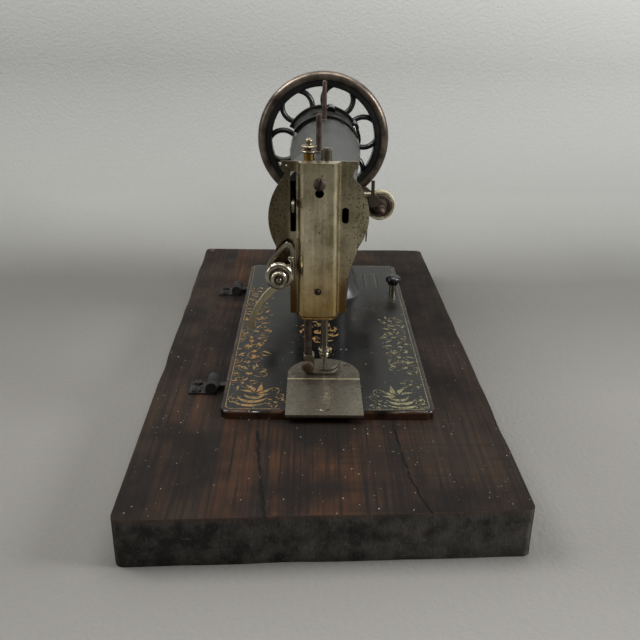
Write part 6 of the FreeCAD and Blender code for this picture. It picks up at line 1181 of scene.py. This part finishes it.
def bent_wire(points, radius):
    """A wire through points in millimetres, drawn downwards from the first."""
    clear_selection()
    bpy.ops.mesh.primitive_circle_add(
        vertices=10, radius=radius / 1000, fill_type="NGON", location=at(*points[0])
    )
    piece = bpy.context.object
    bpy.ops.object.mode_set(mode="EDIT")
    bpy.ops.mesh.select_all(action="SELECT")
    for start, end in zip(points, points[1:]):
        bpy.ops.mesh.extrude_region_move(TRANSFORM_OT_translate={"value": at(*end) - at(*start)})
    bpy.ops.mesh.select_all(action="SELECT")
    bpy.ops.mesh.normals_make_consistent(inside=False)
    bpy.ops.object.mode_set(mode="OBJECT")
    return piece


WIRE_LINE = [(361, -55.5, 87.9), (361, -55.6, 80), (361, -55.2, 60), (361, -54.5, 42), (361, -54.1, 34)]
wire = bent_wire(WIRE_LINE, 0.85)
settle(wire, "hanging_wire", "winder", "rusty_steel", iron, "winder_wire")
smooth(wire, 40)

# %% [markdown]
# **Gold transfers** were floated on as thin printed film and varnished over. A shop artist would
# draw them from two strokes: a scroll that tightens as it thins, and a leaf that swells and
# closes. We make each stroke the same way, by pulling the end of a strip along a little, turning
# it and changing its width. Then we stamp copies of both round the bed.

# %% Two strokes
def stroke(turns, widths, step):
    """A flat strip drawn from the origin along x, each piece turned by degrees and given a width."""
    clear_selection()
    bpy.ops.mesh.primitive_plane_add(size=1)
    piece = bpy.context.object
    for vertex in piece.data.vertices:
        vertex.co = (step if vertex.co.x > 0 else 0, widths[0] / 2 * (1 if vertex.co.y > 0 else -1), 0)
    tip, heading, width = Vector((step, 0, 0)), 0.0, widths[0]
    bpy.ops.object.mode_set(mode="EDIT")
    bpy.ops.mesh.select_mode(type="VERT")
    bpy.ops.mesh.select_all(action="DESELECT")
    bpy.ops.object.mode_set(mode="OBJECT")
    for vertex in piece.data.vertices:
        vertex.select = vertex.co.x > step / 2
    bpy.ops.object.mode_set(mode="EDIT")
    bpy.ops.mesh.select_mode(type="EDGE")
    for turn, wide in zip(turns, widths[1:]):
        heading += turn
        ahead = Vector((math.cos(math.radians(heading)), math.sin(math.radians(heading)), 0)) * step
        bpy.ops.mesh.extrude_region_move(TRANSFORM_OT_translate={"value": ahead})
        tip += ahead
        bpy.ops.transform.rotate(value=math.radians(turn), orient_axis="Z", center_override=tip)
        bpy.ops.transform.resize(value=[max(wide, 0.02) / width] * 3, center_override=tip)
        width = max(wide, 0.02)
    bpy.ops.object.mode_set(mode="OBJECT")
    return piece


SCROLL_TURNS = [4 + 1.5 * i for i in range(22)]
scroll = stroke(SCROLL_TURNS, [0.5 + 1.1 * math.sin(math.pi * min(1, i / 16)) for i in range(23)], 1.5)
leaf = stroke([6] * 9, [0.2, 1.6, 3.0, 4.0, 4.6, 4.6, 4.0, 3.0, 1.6, 0.1], 1.3)
print("scroll and leaf:", len(scroll.data.polygons), len(leaf.data.polygons), "faces")

# %% [markdown]
# **Transfers** lie on the japan like a printed skin. We stamp copies of the two strokes on the
# bed, turned and scaled, and each lies two thousandths of a millimetre above the last, because
# two faces in one plane would flicker. A thin line follows the bed's edge all round them.

# %% Stamps and the line round the bed
FILM, FILM_STEP, FILM_LAYERS = 0.06, 0.002, 60
LAYERS = iter(range(5000))
LINE_LOW, LINE_HIGH = at(30, -36, 0), at(0, 37, 0)


def next_film():
    """The height of the next stroke, a little above the last; after sixty the levels start again."""
    return FILM + FILM_STEP * (next(LAYERS) % FILM_LAYERS)


def stamp(stroke_piece, x, y, angle, scale=1.0, flip=False):
    """Lays a copy of a stroke on the bed at a place in millimetres."""
    piece = stroke_piece.copy()
    piece.data = stroke_piece.data.copy()
    bpy.context.scene.collection.objects.link(piece)
    turn = Matrix.Rotation(math.radians(angle), 4, "Z")
    size = Matrix.Diagonal((scale / 1000, (-scale if flip else scale) / 1000, 0.001, 1))
    piece.matrix_world = Matrix.Translation(at(x, y, next_film())) @ turn @ size
    only(piece)
    bpy.ops.object.transform_apply(location=True, rotation=True, scale=True)
    return piece


def pinstripe(inset, width):
    """A thin line round the bed, left out where the slide plate lies."""
    clear_selection()
    bpy.ops.mesh.primitive_plane_add(size=1)
    piece = bpy.context.object
    for vertex in piece.data.vertices:
        x = BED_LENGTH - inset if vertex.co.x > 0 else inset
        y = BED_BACK - inset if vertex.co.y > 0 else BED_FRONT + inset
        vertex.co = at(x, y, FILM)
    bpy.ops.object.mode_set(mode="EDIT")
    bpy.ops.mesh.select_all(action="SELECT")
    bpy.ops.mesh.bevel(offset=0.006, segments=6, affect="VERTICES")
    bpy.ops.mesh.select_all(action="SELECT")
    bpy.ops.mesh.inset(thickness=width / 1000)
    bpy.ops.mesh.delete(type="FACE")
    for edge in (LINE_LOW, LINE_HIGH):
        bisect((0, edge.y, 0), (0, 1, 0))
    select_faces(piece, lambda c, n: c.x < LINE_LOW.x and LINE_LOW.y < c.y < LINE_HIGH.y)
    bpy.ops.mesh.delete(type="FACE")
    bpy.ops.object.mode_set(mode="OBJECT")
    return piece


# %% [markdown]
# The **ornament** is built as a printer's artist builds it, from small parts to large: a crescent
# is the third stroke; leaves, crescents and scrolls make a palmette for a corner; and scrolls
# with leaves springing from them make a cluster that can be set anywhere.

# %% Crescents, palmettes and clusters
def sickle(x, y, radius, start, end, width):
    """A crescent round a centre, from one angle to another, thinning at both ends."""
    clear_selection()
    steps, film = 14, next_film()
    bpy.ops.mesh.primitive_circle_add(vertices=2 * steps + 2, fill_type="NGON")
    piece = bpy.context.object
    for number, vertex in enumerate(piece.data.vertices):
        share = number / steps if number <= steps else (2 * steps + 1 - number) / steps
        swell = width / 2 * math.sin(math.pi * min(max(share, 0.04), 0.96))
        reach = radius + (swell if number <= steps else -swell)
        turn = math.radians(start + (end - start) * share)
        vertex.co = at(x + reach * math.cos(turn), y + reach * math.sin(turn), film)
    return piece


def round_about(x, y, side, reach, angle):
    """A place at a reach and an angle from a centre. A side of -1 mirrors it front to back."""
    turn = math.radians(angle)
    return (x + reach * math.cos(turn), y + side * reach * math.sin(turn))


FAN_LEAVES = ((-96, 1.15), (-58, 1.45), (-18, 1.6), (24, 1.5), (64, 1.2))
FEATHERS = ((96, 262, 4.2), (112, 240, 4.4), (128, 222, 3.6))
OUTER_SCROLLS = ((104, 20, 0.8), (84, 16, 0.8), (-92, 18, 0.8), (-116, 22, 0.7))


def palmette(x, y, side):
    """A fan of broad leaves, with three feathers swept round its back towards the corner."""
    pieces = []
    for turn, scale in FAN_LEAVES:
        spot = round_about(x, y, side, 1.5, turn)
        pieces.append(stamp(leaf, *spot, side * (turn - 22), scale, side < 0))
    for number, (start, end, width) in enumerate(FEATHERS):
        reach = 8.2 + 5.6 * number
        pieces.append(sickle(x - 0.8 * number, y + side * number, reach, start * side, end * side, width))
    for turn, reach, scale in OUTER_SCROLLS:
        spot = round_about(x, y, side, reach, turn)
        pieces.append(stamp(scroll, *spot, side * (turn + 50), scale, side < 0))
    return pieces


# Each row says how far out, at what bearing, angle and scale, which stroke, and whether it is flipped.
CLUSTER_STROKES = (
    (3, 40, 60, 0.95, scroll, False), (4, 215, -130, 0.85, scroll, False), (5, -40, -40, 0.7, scroll, True),
    (6, 150, 150, 0.6, scroll, True), (6, 28, 20, 1.0, leaf, False), (7, 172, 170, 0.95, leaf, True),
    (6, -80, -80, 0.85, leaf, False), (7, 95, 100, 0.8, leaf, True), (10, -28, -20, 0.7, leaf, False),
    (11, 130, 150, 0.6, leaf, False),
)


def cluster(x, y, side, size, turn=0):
    """A knot of scrolls, with leaves that spring from it."""
    pieces = [sickle(x, y, 1.7 * size, turn, turn + side * 300, 3.0 * size)]
    for far, bearing, angle, scale, kind, flip in CLUSTER_STROKES:
        spot = round_about(x, y, side, far * size, bearing + turn)
        pieces.append(stamp(kind, *spot, side * (angle + turn), scale * size, flip == (side > 0)))
    return pieces


# %% [markdown]
# The **drawing** has a palmette in both corners of the needle end, a row of clusters along each
# long edge, smaller towards the wheel, and a rosette under the arm. What runs over the thin line
# is trimmed, and all strokes are joined to one mesh, between six and eighteen hundredths of a
# millimetre above the varnish.

# %% Lay out the bed
CORNER_CLUSTERS = (
    (16, 41, 1, 0.6, 20), (14, -82, -1, 0.6, 60), (50, 72, 1, 0.8, 130), (48, -76, -1, 0.65, 200),
    (13, -45, -1, 0.5, 90),
)
ROSETTE = (163, 4)
TRIM_BACK, TRIM_FRONT, TRIM_END = at(0, 81.2, 0), at(0, -85.8, 0), at(5.8, 0, 0)


def bed_corners():
    """Two palmettes, with small clusters to fill the corners round them."""
    pieces = palmette(31, 60, 1) + palmette(28, -63, -1)
    for x, y, side, size, turn in CORNER_CLUSTERS:
        pieces += cluster(x, y, side, size, turn)
    return pieces


def bed_edges():
    """Clusters along both long edges, each turned from the last and a little smaller."""
    pieces = []
    for number in range(10):
        x = 70 + 23 * number
        y = 71 if number % 2 else 67
        pieces += cluster(x, y, 1, 1.15 - 0.03 * number, 47 * number)
        pieces.append(stamp(scroll, x + 9, 78, -150 + 20 * (number % 3), 0.55, number % 2 == 1))
    for number in range(6):
        x = 82 + 22 * number
        pieces += cluster(x, -70 if number % 2 else -74, -1, 1.0 - 0.04 * number, 61 * number)
    return pieces


def bed_centre():
    """A rosette under the arm: two rings of strokes round a crescent."""
    x, y = ROSETTE
    pieces = [sickle(x, y, 3.2, 0, 340, 5.5)]
    for angle in range(0, 360, 40):
        turn = math.radians(angle)
        near = (x + 13 * math.cos(turn), y + 9 * math.sin(turn))
        pieces.append(stamp(scroll, *near, angle + 40, 0.9))
        pieces.append(stamp(leaf, *near, angle - 10, 1.1))
        pieces.append(stamp(leaf, x + 24 * math.cos(turn), y + 16 * math.sin(turn), angle + 60, 0.9))
    return pieces


def trim_to_bed(piece):
    """Cuts off what would run over the pinstripe, and turns every face up."""
    only(piece)
    bpy.ops.object.mode_set(mode="EDIT")
    for point, normal in ((TRIM_BACK, (0, 1, 0)), (TRIM_FRONT, (0, -1, 0)), (TRIM_END, (-1, 0, 0))):
        bpy.ops.mesh.select_all(action="SELECT")
        bpy.ops.mesh.bisect(plane_co=point, plane_no=normal, clear_outer=True)
    select_faces(piece, lambda c, n: n.z < 0)
    bpy.ops.mesh.flip_normals()
    bpy.ops.object.mode_set(mode="OBJECT")
    return piece


# %% [markdown]
# The **gold** is a thin metal film under old varnish: yellow brown where it survives, greener
# towards the sewer, and rubbed away in patches. The noise that tints it also decides where more
# of it is lost, so no two copies of a stroke wear alike.

# %% Worn gold
def gold_leafing(tree, place):
    """Dull gold that wears through to dark varnish in patches."""
    y = add(tree, "SeparateXYZ", place)[1]
    fade = clouds(tree, place, 9, 4)
    loss = clouds(tree, place, 2.2, 4, roughness=0.7)
    warm = coat(tree, colour("#7a5426"), colour("#7c6836"), fade, 0.35, 0.65)
    base = coat(tree, warm, colour("#6f6a4a"), y, -0.02, -0.05)
    lost = stirred(tree, loss, fade, 0.3, 0.7, -0.10, 0.10)
    base = coat(tree, base, colour("#1a1611"), lost, 0.47, 0.60)
    return base, add(tree, "MapRange", loss, 0, 1, 0.45, 0.65), loss, 0.02


gold = finish_material("worn_gold_transfer", gold_leafing, ior=1.5)
stamps = bed_corners() + bed_edges() + bed_centre()
transfers = join(trim_to_bed(join(*stamps)), pinstripe(4.2, 0.7))
bpy.data.objects.remove(scroll, do_unlink=True)
bpy.data.objects.remove(leaf, do_unlink=True)
settle(transfers, "gold_transfers", "head", "black_japan", gold)

# %% [markdown]
# Every other CAD piece now gets its smooth copy and its finish. The record says which body it
# rides on and which finish it wears; a few pieces have a finish of their own.

# %% Dress the rest
DRESS = {
    "black_japan": bed_japan,
    "nickel": nickel,
    "bright_steel": steel,
    "rusty_steel": rusty,
    "worn_brass": brass,
}
SPECIAL = {
    "arm": arm_japan,
    "winder_bracket": nickel,
    "winder_arm": grimy,
    "presser_lifter": lever_nickel,
    "presser_bar": rusty,
    "clamp_screw": brass,
    "check_spring": bright_nickel,
    "knob_stem": bright_nickel,
    "bed_cover_plate": cover_japan,
    "slide_plate": slide_nickel,
    "needle_plate": slide_nickel,
    "hinge_plates": iron,
    "hinge_lugs": iron,
    "hinge_pins": iron,
    "hinge_screws": iron,
}
slots = {entry["node"]: entry["material_slot"] for entry in frame["record"]["subparts"]}
homes = {node: body for body, members in frame["record"]["behaviour"]["bodies"].items() for node in members}
REMODELLED = (
    "base_board", "face_plate", "handwheel", "face_plate_screws", "tension_discs", "tension_nut",
    "pressure_screw", "winder_tyre", "foot_screw", "presser_foot", "needle_clamp", "bed_knob",
    "front_spool_pin", "rear_spool_pin", "thread_bracket", "belt_guard", "winder_spindle", "winder_wire",
)
for node in sorted(homes):
    if node not in REMODELLED:
        material = SPECIAL.get(node, DRESS.get(slots[node]))
        smooth_copy(node, homes[node], slots[node], material)

# %% [markdown]
# The **camera** stands in front of the needle end, higher than the machine, and looks down along
# it. Its distance sets how fast the far parts shrink, so that is chosen first; the focal length
# then fits the machine to the frame.

# %% Camera
EYE = at(-564.265, 10.931, 319.322)
PITCH, YAW, ROLL = 22.855, -0.618, 0.592
FOCAL_PIXELS, FRAME_PIXELS, SENSOR = 787.288, 640, 36


def place_camera():
    """Sets the camera at the eye, turned to its pitch, yaw and roll."""
    pitch, yaw, roll = (math.radians(v) for v in (PITCH, YAW, ROLL))
    ahead = Vector((math.cos(pitch) * math.cos(yaw), math.cos(pitch) * math.sin(yaw), -math.sin(pitch)))
    right = Vector((math.sin(yaw), -math.cos(yaw), 0))
    up = right.cross(ahead)
    turned_right = right * math.cos(roll) + up * math.sin(roll)
    turned_up = up * math.cos(roll) - right * math.sin(roll)
    data = bpy.data.cameras.new("camera")
    data.sensor_width = SENSOR
    data.lens = FOCAL_PIXELS / FRAME_PIXELS * SENSOR
    camera = bpy.data.objects.new("camera", data)
    turn = Matrix((turned_right, turned_up, -ahead)).transposed().to_4x4()
    camera.matrix_world = Matrix.Translation(EYE) @ turn
    bpy.context.scene.collection.objects.link(camera)
    bpy.context.scene.camera = camera
    print("camera at", [round(v, 4) for v in EYE])


place_camera()

# %% [markdown]
# The machine stands on a sheet of **paper** that curves up behind it, as in a small studio. Its colour
# carries painted shade under the machine and painted light up the wall, palest at its right, as the lamps
# stand close to the backdrop. Seen from behind it is clear, so that it never hides the handwheel's side.

# %% The paper sweep
PAPER_NEAR, PAPER_BEND, PAPER_HALF = -3.5, 0.4, 5
BEND_RADIUS, BEND_STEPS, WALL_HEIGHT = 0.25, 24, 3


def stage_paper(tree, place):
    """Grey paper in soft bands of painted light and shade from near to far, with painted light on the wall,
    strongest at its right.
    """
    x, y, z = add(tree, "SeparateXYZ", place)
    band = stirred(tree, x, clouds(tree, place, 500, 2), 0.3, 0.7, -0.03, 0.03)
    # Painted light and shade on the floor: bands from near to far, darkest under the machine.
    base = coat(tree, colour("#7e7c78"), colour("#706e6a"), band, -0.40, -0.28)
    base = coat(tree, base, colour("#5f5e5a"), band, -0.05, 0.20)
    base = coat(tree, base, colour("#868683"), band, 0.28, 0.56)
    wall = add(tree, "MapRange", z, 0.06, 0.60)
    # Painted light: the wall is paler, and palest at its right.
    base = coat(tree, base, colour("#b4b5b2"), wall)
    base = coat(tree, base, colour("#bfc0be"), y, 0.3, -0.7, wall)
    grit = clouds(tree, place, 4.5, 3)
    return base, add(tree, "MapRange", grit, 0, 1, 0.75, 0.85), grit, 0.9


def paper_sweep():
    """A sheet of paper that lies flat, then curves up behind the machine into a wall."""
    clear_selection()
    bpy.ops.mesh.primitive_plane_add(size=1)
    sweep = bpy.context.object
    for vertex in sweep.data.vertices:
        x = PAPER_BEND if vertex.co.x > 0 else PAPER_NEAR
        vertex.co = (x, PAPER_HALF if vertex.co.y > 0 else -PAPER_HALF, 0)
    bpy.ops.object.mode_set(mode="EDIT")
    bpy.ops.mesh.select_mode(type="EDGE")
    bpy.ops.mesh.select_all(action="DESELECT")
    bpy.ops.object.mode_set(mode="OBJECT")
    for edge in sweep.data.edges:
        edge.select = all(sweep.data.vertices[v].co.x > 0 for v in edge.vertices)
    bpy.ops.object.mode_set(mode="EDIT")
    for i in range(BEND_STEPS):
        first, second = (math.pi / 2 * k / BEND_STEPS for k in (i, i + 1))
        back = BEND_RADIUS * (math.sin(second) - math.sin(first))
        up = BEND_RADIUS * (math.cos(first) - math.cos(second))
        bpy.ops.mesh.extrude_region_move(TRANSFORM_OT_translate={"value": (back, 0, up)})
    bpy.ops.mesh.extrude_region_move(TRANSFORM_OT_translate={"value": (0, 0, WALL_HEIGHT)})
    bpy.ops.mesh.select_all(action="SELECT")
    bpy.ops.mesh.normals_make_consistent(inside=True)
    bpy.ops.object.mode_set(mode="OBJECT")
    bpy.ops.object.shade_smooth()
    sweep.name = "paper_sweep"
    return sweep


def clear_from_behind(material):
    """Makes the paper invisible from its back, so that it never hides the handwheel's side."""
    tree = material.node_tree
    back = tree.nodes.new("ShaderNodeNewGeometry").outputs["Backfacing"]
    paper = tree.nodes["Principled BSDF"].outputs[0]
    both = add(tree, "MixShader", back, paper, add(tree, "BsdfTransparent"))
    tree.links.new(both, tree.nodes["Material Output"].inputs["Surface"])
    return material


floor = paper_sweep()
floor.data.materials.append(clear_from_behind(finish_material("grey_paper", stage_paper, ior=1.45)))

# %% [markdown]
# **Light** comes from four soft lamps and the sky. The lamps are broad, so the metal shows wide
# pale bands instead of hard dots, and the sky is bright overhead and dim near the floor, so that
# the nickel has something to mirror. The level is plain: a colour renders about as it is written.

# %% Lamps and world
def softbox(name, place, target, size, watts, tint):
    """A square lamp of a size in metres that faces a target."""
    data = bpy.data.lights.new(name, "AREA")
    data.size = size
    data.energy = watts
    data.color = tint
    lamp = bpy.data.objects.new(name, data)
    lamp.location = place
    lamp.rotation_euler = (Vector(target) - Vector(place)).to_track_quat("-Z", "Y").to_euler()
    bpy.context.scene.collection.objects.link(lamp)
    print(f"{name}: {watts} W")


softbox("overhead", (0.05, -0.25, 1.5), (0, 0, 0.1), size=0.8, watts=12, tint=(1, 0.985, 0.96))
softbox("window", (-0.35, -1.2, 0.75), (0, 0, 0.15), size=0.4, watts=19, tint=(0.98, 0.99, 1))
softbox("reflector", (-0.5, 1.1, 0.5), (0, 0, 0.15), size=0.4, watts=2.5, tint=(1, 0.98, 0.95))
softbox("wall_wash", (0.1, 0.9, 1.5), (0.65, 0, 0.75), size=0.8, watts=25, tint=(1, 1, 1))


def sky():
    """A room's light: bright overhead, dimmer near the floor, so that metal has something to mirror."""
    world = bpy.data.worlds.new("studio")
    bpy.context.scene.world = world
    world.use_nodes = True
    tree = world.node_tree
    way = tree.nodes.new("ShaderNodeTexCoord").outputs["Generated"]
    up = add(tree, "SeparateXYZ", way)[2]
    background = tree.nodes["Background"]
    background.inputs["Color"].default_value = colour("#c9cbc8")
    tree.links.new(add(tree, "MapRange", up, -0.1, 0.8, 0.09, 0.40), background.inputs["Strength"])


sky()
bpy.context.scene.view_settings.view_transform = "Standard"
